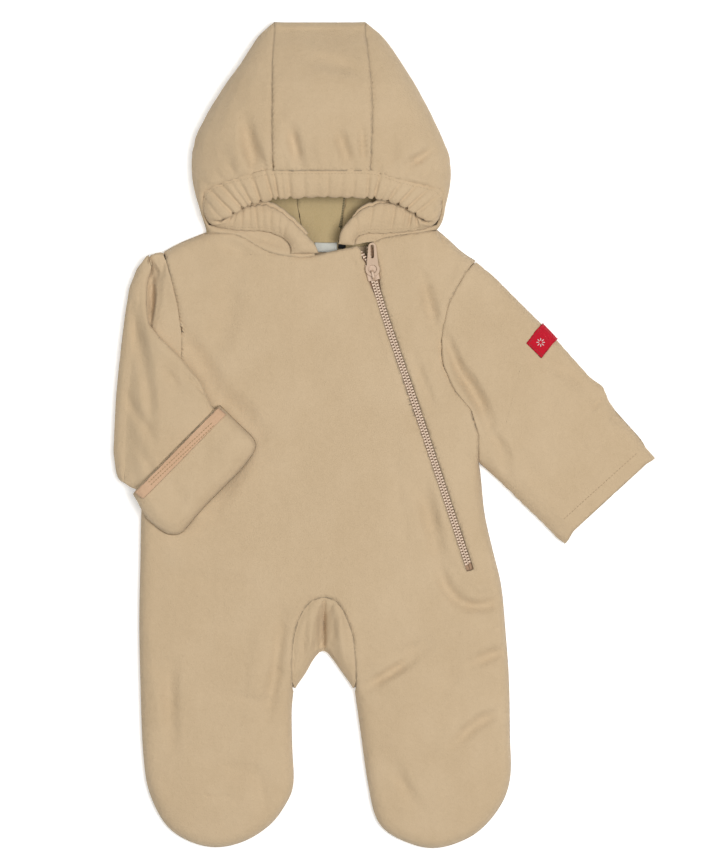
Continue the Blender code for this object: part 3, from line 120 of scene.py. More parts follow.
class Graph:
    """One material and its node tree."""

    def __init__(self, name: str) -> None:
        """Start an empty material.

        Args:
            name: The material's name.
        """
        self.material = bpy.data.materials.new(name)
        self.material.use_nodes = True
        self.tree = self.material.node_tree
        self.tree.nodes.clear()

    def add(self, kind: str, settings: dict[str, object] | None = None,
            values: dict[int | str, object] | None = None, output: int | str = 0) -> Wire:
        """Add a node, set it up, then fill its sockets.

        Args:
            kind: The node's type.
            settings: Properties of the node; "stops" gives a ramp's places and colours.
            values: Numbers, colours or wires by socket name or number.
            output: The output that is wanted.

        Returns:
            The wanted output.
        """
        node = self.tree.nodes.new(kind)
        for key, value in (settings or {}).items():
            if key == "stops":
                self.set_stops(node, value)
            else:
                setattr(node, key, value)
        for key, value in (values or {}).items():
            if isinstance(value, Wire):
                self.tree.links.new(value.socket, node.inputs[key])
            else:
                node.inputs[key].default_value = value
        return Wire(self, node.outputs[output])

    @staticmethod
    def set_stops(node: bpy.types.Node, stops: Sequence[tuple[float, float]]) -> None:
        """Set a ramp's grey stops.

        Args:
            node: The colour ramp.
            stops: Places and grey values.
        """
        ramp = node.color_ramp.elements
        while len(ramp) < len(stops):
            ramp.new(0.5)
        for element, (place, grey) in zip(ramp, stops):
            element.position = place
            element.color = (grey, grey, grey, 1)

    def noise(self, size: float, detail: float = 2.0, stretch: Place = (1, 1, 1)) -> Wire:
        """Noise in the object's own space.

        Args:
            size: Size of its lumps in millimetres.
            detail: Octaves of finer noise.
            stretch: Scale along each axis.

        Returns:
            The noise from 0 to 1.
        """
        place = self.add("ShaderNodeTexCoord", output="Object")
        place = self.add("ShaderNodeMapping", None, {"Vector": place, "Scale": stretch})
        return self.add("ShaderNodeTexNoise", None,
                        {"Vector": place, "Scale": 1 / (size * MM), "Detail": detail})

    def ramp(self, value: Wire, stops: Sequence[tuple[float, float]]) -> Wire:
        """A value passed through a grey ramp.

        Args:
            value: The value.
            stops: Places and grey values.

        Returns:
            The ramp's grey.
        """
        return self.add("ShaderNodeValToRGB", {"stops": stops}, {0: value})

    def blend(self, share: Wire, first: Colour | Wire, second: Colour | Wire) -> Wire:
        """Mix two colours.

        Args:
            share: How much of the second.
            first: The first colour.
            second: The second colour.

        Returns:
            The mixed colour.
        """
        colours = [c if isinstance(c, Wire) else (*c, 1.0) for c in (first, second)]
        return self.add("ShaderNodeMix", {"data_type": "RGBA"},
                        {0: share, 6: colours[0], 7: colours[1]}, 2)

    def bump(self, height: Wire, depth: float, under: Wire | None = None) -> Wire:
        """A bump of a real depth.

        Args:
            height: The height from 0 to 1.
            depth: Its depth in millimetres.
            under: A bump below this one.

        Returns:
            The bumped normal.
        """
        values = {"Height": height, "Distance": depth * MM, "Strength": 1.0}
        if under:
            values["Normal"] = under
        return self.add("ShaderNodeBump", None, values)

    def finish(self, **sockets: object) -> bpy.types.Material:
        """Add the shader and the output.

        Args:
            **sockets: Values of the shader's sockets, with spaces written as underscores.

        Returns:
            The material.
        """
        named = {key.replace("_", " "): value for key, value in sockets.items()}
        shader = self.add("ShaderNodeBsdfPrincipled", None, named)
        self.add_output(shader)
        return self.material

    def add_output(self, shader: Wire) -> None:
        """Link the shader to the material's output."""
        node = self.tree.nodes.new("ShaderNodeOutputMaterial")
        self.tree.links.new(shader.socket, node.inputs["Surface"])


# Finishes

@dataclass(frozen=True)
class Fleece:
    """Brushed polyester fleece: a short matt nap, faint pills and hardly any shine."""

    name: str
    colour: Colour = (0.600, 0.452, 0.292)
    deep: Colour = (0.500, 0.368, 0.228)
    pale: Colour = (0.665, 0.515, 0.350)
    nap: float = 0.9
    lumps: float = 5.0
    streaks: float = 8.0
    drift: float = 46.0
    stretch: Place = (1, 0.3, 1)
    shares: tuple[float, float, float] = (0.32, 0.38, 0.30)
    nap_depth: float = 0.6
    lump_depth: float = 0.55
    sheen: float = 0.22
    sheen_tint: Colour = (1.0, 0.93, 0.82)

    def material(self) -> bpy.types.Material:
        """Build the material.

        Returns:
            The material.
        """
        graph = Graph(self.name)
        nap = graph.noise(self.nap, 3.0)
        drift = graph.noise(self.drift, 2.0)
        lumps = graph.noise(self.lumps, 3.0)
        streaks = graph.noise(self.streaks, 2.0, self.stretch)
        tufts = graph.ramp(nap, [(0.34, 0.0), (0.68, 1.0)])
        of_tufts, of_lumps, of_streaks = self.shares
        shade = graph.blend(tufts * of_tufts + lumps * of_lumps + streaks * of_streaks,
                            self.deep, self.colour)
        colour = graph.blend(graph.ramp(drift, [(0.40, 0.0), (0.80, 0.28)]), shade, self.pale)
        normal = graph.bump(lumps, self.lump_depth)
        normal = graph.bump(nap, self.nap_depth, normal)
        return graph.finish(Base_Color=colour, Roughness=0.96, Normal=normal,
                            Sheen_Weight=self.sheen, Sheen_Roughness=0.55,
                            Sheen_Tint=(*self.sheen_tint, 1), Specular_IOR_Level=0.15)


@dataclass(frozen=True)
class Woven:
    """A plain woven tape or label with ribs of thread both ways."""

    name: str
    colour: Colour
    pitch: float = 0.55
    depth: float = 0.18
    turn: float = 0.0
    rough: float = 0.8
    worn: float = 4.0
    darker: float = 0.62

    def material(self) -> bpy.types.Material:
        """Build the material.

        Returns:
            The material.
        """
        graph = Graph(self.name)
        place = graph.add("ShaderNodeTexCoord", output="Object")
        place = graph.add("ShaderNodeMapping", None, {"Vector": place,
                                                      "Rotation": (0, 0, math.radians(self.turn))})
        ribs = [graph.add("ShaderNodeTexWave", {"bands_direction": way},
                          {"Vector": place, "Scale": 0.314 / (self.pitch * MM)}, "Fac")
                for way in ("X", "Y")]
        weave = ribs[0] * 0.5 + ribs[1] * 0.5
        worn = graph.noise(self.worn, 3.0)
        dark = tuple(c * self.darker for c in self.colour)
        colour = graph.blend(weave * 0.5 + worn * 0.5, dark, self.colour)
        return graph.finish(Base_Color=colour, Roughness=self.rough,
                            Normal=graph.bump(weave, self.depth), Specular_IOR_Level=0.25)


@dataclass(frozen=True)
class Moulded:
    """Moulded plastic: satin, with a painted highlight on its convex edges and high places, and a
    faint mottle.
    """

    name: str
    colour: Colour = (0.50, 0.315, 0.225)
    # Paler colour mixed in on convex edges: a painted highlight
    edge_highlight: Colour = (0.70, 0.50, 0.40)
    rough: float = 0.36
    mottle: float = 1.6
    grain: float = 0.35
    darker: float = 0.72

    def material(self) -> bpy.types.Material:
        """Build the material.

        Returns:
            The material.
        """
        graph = Graph(self.name)
        mottle = graph.noise(self.mottle, 3.0)
        edge = graph.add("ShaderNodeNewGeometry", output="Pointiness")
        # Painted highlight: pointiness picks out convex edges, which are mixed towards the paler
        # colour
        edge_highlight = graph.ramp(edge, [(0.50, 0.0), (0.58, 1.0)])
        base = graph.blend(mottle * 0.4, self.colour, tuple(c * self.darker for c in self.colour))
        colour = graph.blend(edge_highlight * 0.55, base, self.edge_highlight)
        grain = graph.noise(self.grain, 2.0)
        return graph.finish(Base_Color=colour, Roughness=self.rough + mottle * 0.14,
                            Normal=graph.bump(grain, 0.02), Specular_IOR_Level=0.5)


@dataclass(frozen=True)
class Thread:
    """Sewing thread with its twist."""

    name: str
    colour: Colour
    twist: float = 0.5
    darker: float = 0.7

    def material(self) -> bpy.types.Material:
        """Build the material.

        Returns:
            The material.
        """
        graph = Graph(self.name)
        twist = graph.noise(self.twist, 1.0)
        dark = tuple(c * self.darker for c in self.colour)
        colour = graph.blend(twist, dark, self.colour)
        return graph.finish(Base_Color=colour, Roughness=0.7, Normal=graph.bump(twist, 0.08),
                            Sheen_Weight=0.15)


@dataclass(frozen=True)
class Paper:
    """The pale surface that the suit lies on."""

    name: str = "pale_surface"
    colour: Colour = (0.93, 0.925, 0.92)
    glow: float = 0.28

    def material(self) -> bpy.types.Material:
        """Build the material."""
        return Graph(self.name).finish(Base_Color=(*self.colour, 1), Roughness=0.9,
                                       Emission_Color=(1, 1, 1, 1),
                                       Emission_Strength=self.glow)


class Finish(Enum):
    """The finishes that the suit's pieces use."""

    FLEECE = Fleece("fleece_body")
    CASING = Fleece("fleece_casing", colour=(0.625, 0.468, 0.300), nap=0.8, lumps=4.0)
    # A darker, greener copy of the fleece: painted shade for the hollow inside the hood
    INSIDE_SHADE = Fleece("fleece_inside_painted_shade", colour=(0.50, 0.385, 0.215), deep=(0.41, 0.31, 0.155),
                    pale=(0.55, 0.425, 0.25))
    HEM = Fleece("fleece_hem", colour=(0.66, 0.435, 0.285), deep=(0.55, 0.34, 0.205),
                 pale=(0.74, 0.52, 0.36), nap=0.6, lumps=3.0)
    TAPE = Woven("zip_tape", (0.50, 0.325, 0.21), turn=18.0)
    LABEL = Woven("label_red", (0.70, 0.008, 0.03), pitch=0.4, turn=48.0)
    NECK_LABEL = Woven("label_grey", (0.80, 0.80, 0.73), pitch=0.4, rough=0.55)
    TAB = Woven("tab_black", (0.018, 0.018, 0.02), pitch=0.4)
    TEETH = Moulded("zip_teeth", colour=(0.55, 0.38, 0.255), edge_highlight=(0.78, 0.60, 0.46))
    PULL = Moulded("zip_pull", colour=(0.49, 0.33, 0.215), edge_highlight=(0.66, 0.48, 0.35))
    THREAD = Thread("thread_tan", (0.50, 0.335, 0.175))
    THREAD_SOFT = Thread("thread_beige", (0.52, 0.38, 0.235))
    THREAD_DARK = Thread("thread_olive", (0.19, 0.155, 0.07))
    THREAD_EDGE = Thread("thread_maroon", (0.36, 0.01, 0.03))
    THREAD_WHITE = Thread("thread_white", (0.80, 0.74, 0.72))


# The materials made so far, one for each finish
_made: dict[Finish, bpy.types.Material] = {}


def paint_inside_shade(piece: bpy.types.Object, top: float) -> None:
    """Give the inside of a panel that lies on its back a darker, greener copy of the fleece: painted
    shade of the hollow inside the hood.

    Args:
        piece: The panel.
        top: The height in millimetres below which its upward faces are the inside.
    """
    outside = piece.data.materials[0]
    dress(piece, Finish.INSIDE_SHADE)
    piece.data.materials.append(piece.data.materials[0])
    piece.data.materials[0] = outside
    # Upward faces low down inside the hood take the painted shade
    for face in piece.data.polygons:
        if face.normal.z > FACES_UP and face.center.z < top * MM:
            face.material_index = 1


def dress(piece: bpy.types.Object, finish: Finish) -> None:
    """Give a piece its material.

    Args:
        piece: The piece.
        finish: The finish.
    """
    if finish not in _made:
        _made[finish] = finish.value.material()
    piece.data.materials.clear()
    piece.data.materials.append(_made[finish])


# Curves and surfaces

SPAN_STEPS = 16


def smooth_curve(points: Sequence[Sequence[float]], step: float) -> np.ndarray:
    """Evenly spaced points on a smooth curve through given points.

    Args:
        points: The given points.
        step: About how far apart the new points are.

    Returns:
        The curve's points.
    """
    pts = np.array(points, float)
    ends = np.vstack([2 * pts[0] - pts[1], pts, 2 * pts[-1] - pts[-2]])
    dense = []
    t = np.linspace(0, 1, SPAN_STEPS, endpoint=False)[:, None]
    for i in range(len(pts) - 1):
        p0, p1, p2, p3 = ends[i:i + 4]
        dense.append(0.5 * (2 * p1 + (p2 - p0) * t + (2 * p0 - 5 * p1 + 4 * p2 - p3) * t ** 2
                            + (3 * p1 - p0 - 3 * p2 + p3) * t ** 3))
    curve = np.vstack([*dense, pts[-1:]])
    return along(curve, np.linspace(0, 1, max(2, round(length(curve) / step) + 1)))


def length(curve: np.ndarray) -> float:
    """Length of a curve of points."""
    return float(np.linalg.norm(np.diff(curve, axis=0), axis=1).sum())


def along(curve: np.ndarray, shares: np.ndarray) -> np.ndarray:
    """Points at shares of a curve's length.

    Args:
        curve: The curve's points.
        shares: The shares, from 0 to 1.

    Returns:
        The points.
    """
    run = np.concatenate([[0], np.cumsum(np.linalg.norm(np.diff(curve, axis=0), axis=1))])
    where = np.asarray(shares) * run[-1]
    return np.stack([np.interp(where, run, curve[:, k]) for k in range(curve.shape[1])], -1)


def flat(plan: np.ndarray) -> np.ndarray:
    """Plan points or shifts with a height of 0."""
    return np.column_stack([plan, np.zeros(len(plan))])


def unit(vectors: np.ndarray) -> np.ndarray:
    """Vectors made one long."""
    return vectors / np.maximum(np.linalg.norm(vectors, axis=-1, keepdims=True), 1e-12)


def fade(x: np.ndarray) -> np.ndarray:
    """A smooth step from 0 at 0 to 1 at 1."""
    x = np.clip(x, 0, 1)
    return x * x * (3 - 2 * x)


def beside(curve: np.ndarray, shift: float) -> np.ndarray:
    """A plan curve moved to its left by a distance."""
    way = unit(np.gradient(curve, axis=0))
    return curve + np.column_stack([-way[:, 1], way[:, 0]]) * shift


def grid_faces(rows: int, columns: int, closed: bool = False) -> list[list[int]]:
    """Faces of a grid of points counted row by row.

    Args:
        rows: Number of rows.
        columns: Points in a row.
        closed: Whether the last column joins the first.

    Returns:
        Four-sided faces.
    """
    faces = []
    for r in range(rows - 1):
        for c in range(columns if closed else columns - 1):
            d = (c + 1) % columns
            faces.append([r * columns + c, r * columns + d,
                          (r + 1) * columns + d, (r + 1) * columns + c])
    return faces


def tube_faces(rows: int, columns: int) -> list[list[int]]:
    """Faces of a tube of points counted ring by ring, with a cap at each end.

    Args:
        rows: Number of rings.
        columns: Points in a ring.

    Returns:
        The faces.
    """
    last = (rows - 1) * columns
    caps = [list(range(columns)), [last + k for k in reversed(range(columns))]]
    return grid_faces(rows, columns, closed=True) + caps


def shifted(faces: Sequence[Sequence[int]], start: int) -> list[list[int]]:
    """Faces whose points are counted from a number on."""
    return [[start + k for k in face] for face in faces]


def put(name: str, data: bpy.types.ID) -> bpy.types.Object:
    """Put an object into the scene.

    Args:
        name: The object's name.
        data: Its mesh, lamp or camera.

    Returns:
        The object.
    """
    thing = bpy.data.objects.new(name, data)
    bpy.context.scene.collection.objects.link(thing)
    return thing


def nearest(targets: np.ndarray, points: np.ndarray) -> tuple[np.ndarray, np.ndarray]:
    """Find the target nearest to each point.

    Args:
        targets: The targets.
        points: The points.

    Returns:
        The targets' numbers and their distances.
    """
    tree = KDTree(len(targets))
    for i, place in enumerate(targets):
        tree.insert(place, i)
    tree.balance()
    found = [tree.find(p) for p in points]
    return np.array([f[1] for f in found]), np.array([f[2] for f in found])


def new_piece(name: str, points: np.ndarray, faces: Sequence[Sequence[int]],
              finish: Finish) -> bpy.types.Object:
    """Make a smooth-shaded mesh object from points in millimetres.

    Args:
        name: The piece's name.
        points: Its points.
        faces: Its faces.
        finish: Its finish.

    Returns:
        The piece, linked into the scene.
    """
    mesh = bpy.data.meshes.new(name)
    mesh.from_pydata((np.asarray(points) * MM).tolist(), [], [list(f) for f in faces])
    tidy = bmesh.new()
    tidy.from_mesh(mesh)
    bmesh.ops.recalc_face_normals(tidy, faces=tidy.faces)
    tidy.to_mesh(mesh)
    tidy.free()
    mesh.shade_smooth()
    piece = put(name, mesh)
    dress(piece, finish)
    return piece


def settle(piece: bpy.types.Object, nodes: Sequence[str] = (),
           body: str = GARMENT) -> None:
    """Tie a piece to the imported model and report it.

    Args:
        piece: The piece.
        nodes: The solids that it stands for.
        body: The body that it rides on.
    """
    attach(piece, body)
    if nodes:
        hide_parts(*nodes)
    log.info("%s: %d faces, for %s", piece.name, len(piece.data.polygons), list(nodes))


# Relief of the cloth

PINCH = 3.2
CREASE_END = 0.35
LAYER_BLEND = 2.0


def between(heights: np.ndarray, low: float, high: float) -> np.ndarray:
    """A share of 1 between two heights, which fades to 0 at both."""
    return fade((heights - low) / LAYER_BLEND) * fade((high - heights) / LAYER_BLEND)


class Press(Enum):
    """How a crease is shaped across."""

    SOFT = "soft"
    PINCHED = "pinched"


@dataclass(frozen=True)
class Crease:
    """A trough pressed into the cloth, or a ridge where its depth is below 0.

    It runs from x0, y0 to x1, y1, and acts on the cloth between the heights above and under.
    """

    x0: float
    y0: float
    x1: float
    y1: float
    half: float
    depth: float
    bend: float = 0.0
    press: Press = Press.SOFT
    above: float = -1.0
    under: float = 99.0

    def depth_at(self, points: np.ndarray) -> np.ndarray:
        """How far the cloth is pressed down at each point.

        Args:
            points: Points in millimetres.

        Returns:
            Depths in millimetres.
        """
        xy = points[:, :2]
        layer = between(points[:, 2], self.above, self.under)
        start = np.array([self.x0, self.y0])
        run = np.array([self.x1, self.y1]) - start
        reach = math.hypot(*run)
        share = ((xy - start) @ run) / reach ** 2
        bow = self.bend * 4 * np.clip(share, 0, 1) * (1 - np.clip(share, 0, 1))
        side = ((xy - start) @ np.array([-run[1], run[0]])) / reach - bow
        past = np.maximum(np.abs(share - 0.5) - 0.5, 0) * reach / self.half
        far = np.hypot(side / self.half, past)
        if self.press is Press.PINCHED:
            across = np.exp(-PINCH * far)
        else:
            across = 0.5 + 0.5 * np.cos(math.pi * np.clip(far, 0, 1))
        taper = CREASE_END + (1 - CREASE_END) * fade((0.5 - np.abs(share - 0.5)) / CREASE_END)
        return self.depth * layer * across * np.where(past > 0, CREASE_END, taper)


@dataclass(frozen=True)
class Ripple:
    """Uneven waves made of a few plane waves in seeded directions."""

    size: float
    height: float
    seed: int
    count: int = 9

    def at(self, points: np.ndarray) -> np.ndarray:
        """Height of the ripple at each point.

        Args:
            points: Points in millimetres.

        Returns:
            Heights in millimetres.
        """
        rng = np.random.default_rng(self.seed)
        total = np.zeros(len(points))
        for _ in range(self.count):
            way = unit(rng.normal(size=points.shape[1]))
            wave = 2 * math.pi / (self.size * rng.uniform(0.75, 1.5))
            total += np.sin(points @ way * wave + rng.uniform(0, 2 * math.pi))
        return total * self.height / math.sqrt(self.count)


@dataclass(frozen=True)
class Tug:
    """A soft pull on the cloth round one place, fading with its distance in plan."""

    x: float
    y: float
    reach: float
    shift: Place
    low: float = -1.0
    high: float = 99.0

    def at(self, points: np.ndarray) -> np.ndarray:
        """How far each point is pulled.

        Args:
            points: Points in millimetres.

        Returns:
            Shifts in millimetres.
        """
        far = np.linalg.norm(points[:, :2] - (self.x, self.y), axis=1) / self.reach
        share = fade(1 - far) * between(points[:, 2], self.low, self.high)
        return share[:, None] * np.array(self.shift)


@dataclass(frozen=True)
class Lap:
    """Cloth edges drawn over a line, as the front's edges are over the zip."""

    line: tuple[tuple[float, float], ...]
    over: float
    reach: float

    def at(self, points: np.ndarray) -> np.ndarray:
        """How far each point is drawn towards the line.

        Args:
            points: Points in millimetres.

        Returns:
            Shifts in millimetres.
        """
        curve = smooth_curve(self.line, 1.5)
        near, far = nearest(flat(curve), flat(points[:, :2]))
        share = self.over * fade(1 - far / self.reach)
        return flat(unit(curve[near] - points[:, :2]) * share[:, None])


@dataclass(frozen=True)
class Relief:
    """Everything that shapes a shell beyond its solid: creases, waves and sunken seams."""

    creases: tuple[Crease, ...] = ()
    low: float = 6.0
    high: float = 13.0
    waves: tuple[Ripple, ...] = (Ripple(85, 0.55, 3), Ripple(26, 0.16, 5), Ripple(9, 0.05, 8))
    seam_sink: float = 0.9
    seam_ridge: float = 0.35
    pucker: float = 0.18
    pucker_size: float = 11.0
    shifts: tuple[Tug | Lap, ...] = ()
    press: float = 2.4
    calm: float = 9.0
    sink_half: float = 2.4
    ridge_off: float = 5.5
    ridge_half: float = 2.6

    def lift_at(self, points: np.ndarray, seam: np.ndarray) -> np.ndarray:
        """How far each point is raised.

        Args:
            points: Points in millimetres.
            seam: Distance of each point from its piece's nearest seam.

        Returns:
            Heights in millimetres, before they fade out towards the floor.
        """
        lift = sum((wave.at(points) for wave in self.waves), np.zeros(len(points)))
        lift *= 0.25 + 0.75 * fade(seam / self.calm)
        for crease in self.creases:
            lift -= self.press * crease.depth_at(points)
        lift -= self.seam_sink * np.exp(-(seam / self.sink_half) ** 2)
        lift += self.seam_ridge * np.exp(-((seam - self.ridge_off) / self.ridge_half) ** 2)
        pucker = Ripple(self.pucker_size, self.pucker, 21).at(points) * np.exp(-(seam / 8) ** 2)
        lift += pucker * fade(seam / 3)
        return lift * fade((points[:, 2] - self.low) / (self.high - self.low))


# The relief of a small flat piece, which adds nothing to its solid
STILL = Relief(waves=(), seam_sink=0.0, seam_ridge=0.0, pucker=0.0)


class Shell:
    """A fine copy of a soft solid: its facets smoothed away, its rims smoothed along their length
    and pushed out towards the next piece.
    """

    SHARP = math.radians(50)
    CORNER = 0.62
    KEEP, PASS_BACK = 0.5, -0.53
    SEAM_GAP = 0.3
    UPRIGHT = 0.2
    LEVEL_ROUNDS = 3

    def __init__(self, node: str, longest: float = 4.4, rounds: int = 26) -> None:
        """Copy, split and smooth a solid.

        Args:
            node: The solid's node.
            longest: The longest edge left, in millimetres.
            rounds: Rounds of smoothing.
        """
        self.node = node
        self.take()
        self.split(longest)
        self.on_rim = np.zeros(len(self.points), bool)
        self.on_rim[self.rims.ravel()] = True
        self.fixed = self.find_corners()
        for _ in range(rounds):
            for share in (self.KEEP, self.PASS_BACK):
                self.relax(share)
        self.close_seams()

    def take(self) -> None:
        """Take the solid's points, faces and closed lines of hard edges."""
        tidy = Suit.merged(self.node)
        bmesh.ops.triangulate(tidy, faces=tidy.faces)
        tidy.verts.index_update()
        self.points = np.array([v.co for v in tidy.verts]) / MM
        self.faces = np.array([[v.index for v in f.verts] for f in tidy.faces])
        hard = [e for e in tidy.edges if len(e.link_faces) != 2
                or e.calc_face_angle() > self.SHARP]
        self.rims = np.array([[v.index for v in e.verts] for e in hard])
        tidy.free()
        while True:
            count = np.bincount(self.rims.ravel(), minlength=len(self.points))
            whole = (count[self.rims] > 1).all(axis=1)
            if whole.all():
                return
            self.rims = self.rims[whole]

    def split(self, longest: float) -> None:
        """Halve every edge that is longer than a limit, until none is.

        Args:
            longest: The limit in millimetres.
        """
        while True:
            sides = self.faces[:, [[0, 1], [1, 2], [2, 0]]].reshape(-1, 2)
            links, where = np.unique(np.sort(sides, axis=1), axis=0, return_inverse=True)
            ends = self.points[links]
            long = np.linalg.norm(ends[:, 0] - ends[:, 1], axis=1) > longest
            if not long.any():
                self.links = links
                return
            size = len(self.points)
            middle = np.full(len(links), -1)
            middle[long] = size + np.arange(long.sum())
            self.points = np.vstack([self.points, ends[long].mean(axis=1)])
            self.rims = self.split_rims(links, middle)
            self.faces = self.split_faces(middle[where.reshape(-1, 3)])

    def split_rims(self, links: np.ndarray, middle: np.ndarray) -> np.ndarray:
        """Split the hard edges where their middles are new points.

        Args:
            links: All edges before the split.
            middle: The new point of each edge, or -1.

        Returns:
            The hard edges after it.
        """
        size = len(self.points)
        keys = links[:, 0] * size + links[:, 1]
        rims = np.sort(self.rims, axis=1)
        new = middle[np.searchsorted(keys, rims[:, 0] * size + rims[:, 1])]
        cut = new >= 0
        return np.vstack([rims[~cut], np.column_stack([rims[cut, 0], new[cut]]),
                          np.column_stack([new[cut], rims[cut, 1]])])

    def split_faces(self, middle: np.ndarray) -> np.ndarray:
        """Split each triangle by the new points on its sides.

        Args:
            middle: The new point on each face's three sides, or -1.

        Returns:
            The new triangles.
        """
        count = (middle >= 0).sum(axis=1)
        turn = np.where(count == 1, (middle >= 0).argmax(axis=1), (middle < 0).argmax(axis=1) + 1)
        order = (turn[:, None] + np.arange(3)) % 3
        a, b, c = np.take_along_axis(self.faces, order, axis=1).T
        ab, bc, ca = np.take_along_axis(middle, order, axis=1).T
        ways_in = {0: ((a, b, c),), 1: ((a, ab, c), (ab, b, c)),
                   2: ((a, ab, c), (ab, bc, c), (ab, b, bc)),
                   3: ((a, ab, ca), (ab, b, bc), (ca, bc, c), (ab, bc, ca))}
        return np.vstack([np.column_stack(corners)[count == n]
                          for n, triangles in ways_in.items() for corners in triangles])

    def find_corners(self) -> np.ndarray:
        """Find the points where hard edges meet or turn, which stay where they are.

        Returns:
            Whether each point is one.
        """
        count = np.bincount(self.rims.ravel(), minlength=len(self.points))
        ways_out = np.zeros((len(self.points), 3))
        for a, b in (self.rims.T, self.rims.T[::-1]):
            step = unit(self.points[b] - self.points[a])
            for k in range(3):
                ways_out[:, k] += np.bincount(a, step[:, k], len(self.points))
        turned = np.linalg.norm(ways_out, axis=1) > self.CORNER
        return self.on_rim & ((count != 2) | turned)

    @staticmethod
    def means(values: np.ndarray, links: np.ndarray) -> np.ndarray:
        """Mean of some values over each point's neighbours.

        Args:
            values: A row of values for each point.
            links: The links that make points neighbours.

        Returns:
            The means; a point's own values where it has no neighbour.
        """
        a, b = links.T
        size = len(values)
        count = np.bincount(links.ravel(), minlength=size)[:, None]
        total = np.stack([np.bincount(a, column[b], size) + np.bincount(b, column[a], size)
                          for column in values.T], -1)
        return np.where(count > 0, total / np.maximum(count, 1), values)

    def relax(self, share: float) -> None:
        """Move points towards their neighbours, and rim points along their rim.

        Args:
            share: How far they go; below 0 they go back.
        """
        target = np.where(self.on_rim[:, None], self.means(self.points, self.rims),
                          self.means(self.points, self.links))
        step = (target - self.points) * share
        step[self.fixed] = 0
        self.points = self.points + step

    def close_seams(self) -> None:
        """Push the rims out until they meet the next piece."""
        out = self.normals()[:, :2]
        upright = np.linalg.norm(out, axis=1) > self.UPRIGHT
        out = unit(out) * upright[:, None] * self.SEAM_GAP
        self.points[:, :2] += np.where(self.on_rim[:, None], out, 0)

    def normals(self) -> np.ndarray:
        """Unit normals of the points.

        Returns:
            The normals.
        """
        a, b, c = (self.points[self.faces[:, k]] for k in range(3))
        cross = np.cross(b - a, c - a)
        total = np.stack([sum(np.bincount(self.faces[:, j], cross[:, k], len(self.points))
                              for j in range(3)) for k in range(3)], -1)
        return unit(total)

    def seam_distance(self) -> np.ndarray:
        """Distance of each point from the nearest rim point, in millimetres."""
        return nearest(self.points[self.on_rim], self.points)[1]

    def press(self, relief: Relief) -> None:
        """Apply a relief.

        Args:
            relief: The relief.
        """
        for shift in relief.shifts:
            self.points = self.points + shift.at(self.points)
        level = np.abs(self.normals()[:, 2:])
        for _ in range(self.LEVEL_ROUNDS):
            level = 0.5 * level + 0.5 * self.means(level, self.links)
        self.points[:, 2] += relief.lift_at(self.points, self.seam_distance()) * level[:, 0]

    def piece(self, name: str, finish: Finish) -> bpy.types.Object:
        """Make the shell's object.

        Args:
            name: The piece's name.
            finish: Its finish.

        Returns:
            The piece.
        """
        return new_piece(name, self.points, self.faces.tolist(), finish)


class Suit:
    """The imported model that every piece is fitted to."""

    nodes: dict[str, bpy.types.Object] = {}

    @classmethod
    def load(cls) -> None:
        """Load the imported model."""
        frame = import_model()
        cls.nodes = frame["nodes"]

    @classmethod
    def merged(cls, node: str) -> bmesh.types.BMesh:
        """Open a solid's mesh with its doubled points merged.

        Args:
            node: The solid's node.

        Returns:
            The open mesh, to be freed after use.
        """
        tidy = bmesh.new()
        tidy.from_mesh(cls.nodes[node].data)
        bmesh.ops.remove_doubles(tidy, verts=tidy.verts, dist=1e-6)
        return tidy


@dataclass(frozen=True)
class Cut:
    """The flat cut of a sheet of cloth."""

    wide: float
    long: float
    area: float
    held: str = "laid"
    rests_on: tuple[str, ...] = ()


def cloth_piece(node: str, relief: Relief, finish: Finish = Finish.FLEECE,
                longest: float = 4.4) -> bpy.types.Object:
    """Build one sewn piece of cloth as a fine shell of its solid.

    Args:
        node: The solid that it stands for.
        relief: Its creases and waves.
        finish: Its finish.
        longest: The longest edge in millimetres.

    Returns:
        The piece.
    """
    shell = Shell(node, longest)
    shell.press(relief)
    piece = shell.piece(f"{node}_cloth", finish)
    settle(piece, [node])
    return piece


class Surface:
    """The top of several pieces, on which stitches and threads are seated."""

    def __init__(self, pieces: Sequence[bpy.types.Object]) -> None:
        """Collect the pieces' faces.

        Args:
            pieces: The pieces.
        """
        points, faces = [], []
        for piece in pieces:
            start = len(points)
            points += [v.co.copy() for v in piece.data.vertices]
            faces += shifted([f.vertices for f in piece.data.polygons], start)
        self.tree = BVHTree.FromPolygons(points, faces)

    def top(self, x: float, y: float, above: float = 120.0) -> tuple[np.ndarray, np.ndarray]:
        """The highest place over a point of the plan.

        Args:
            x: The place's x.
            y: The place's y.
            above: The height that the search starts from.

        Returns:
            The place and its normal, in millimetres; the floor where there is nothing.
        """
        start = Vector((x, y, above)) * MM
        place, normal, *_ = self.tree.ray_cast(start, Vector((0, 0, -1)))
        if place is None:
            return np.array([x, y, 0.0]), np.array([0.0, 0.0, 1.0])
        if normal.z < 0:
            normal = -normal
        return np.array(place) / MM, np.array(normal)


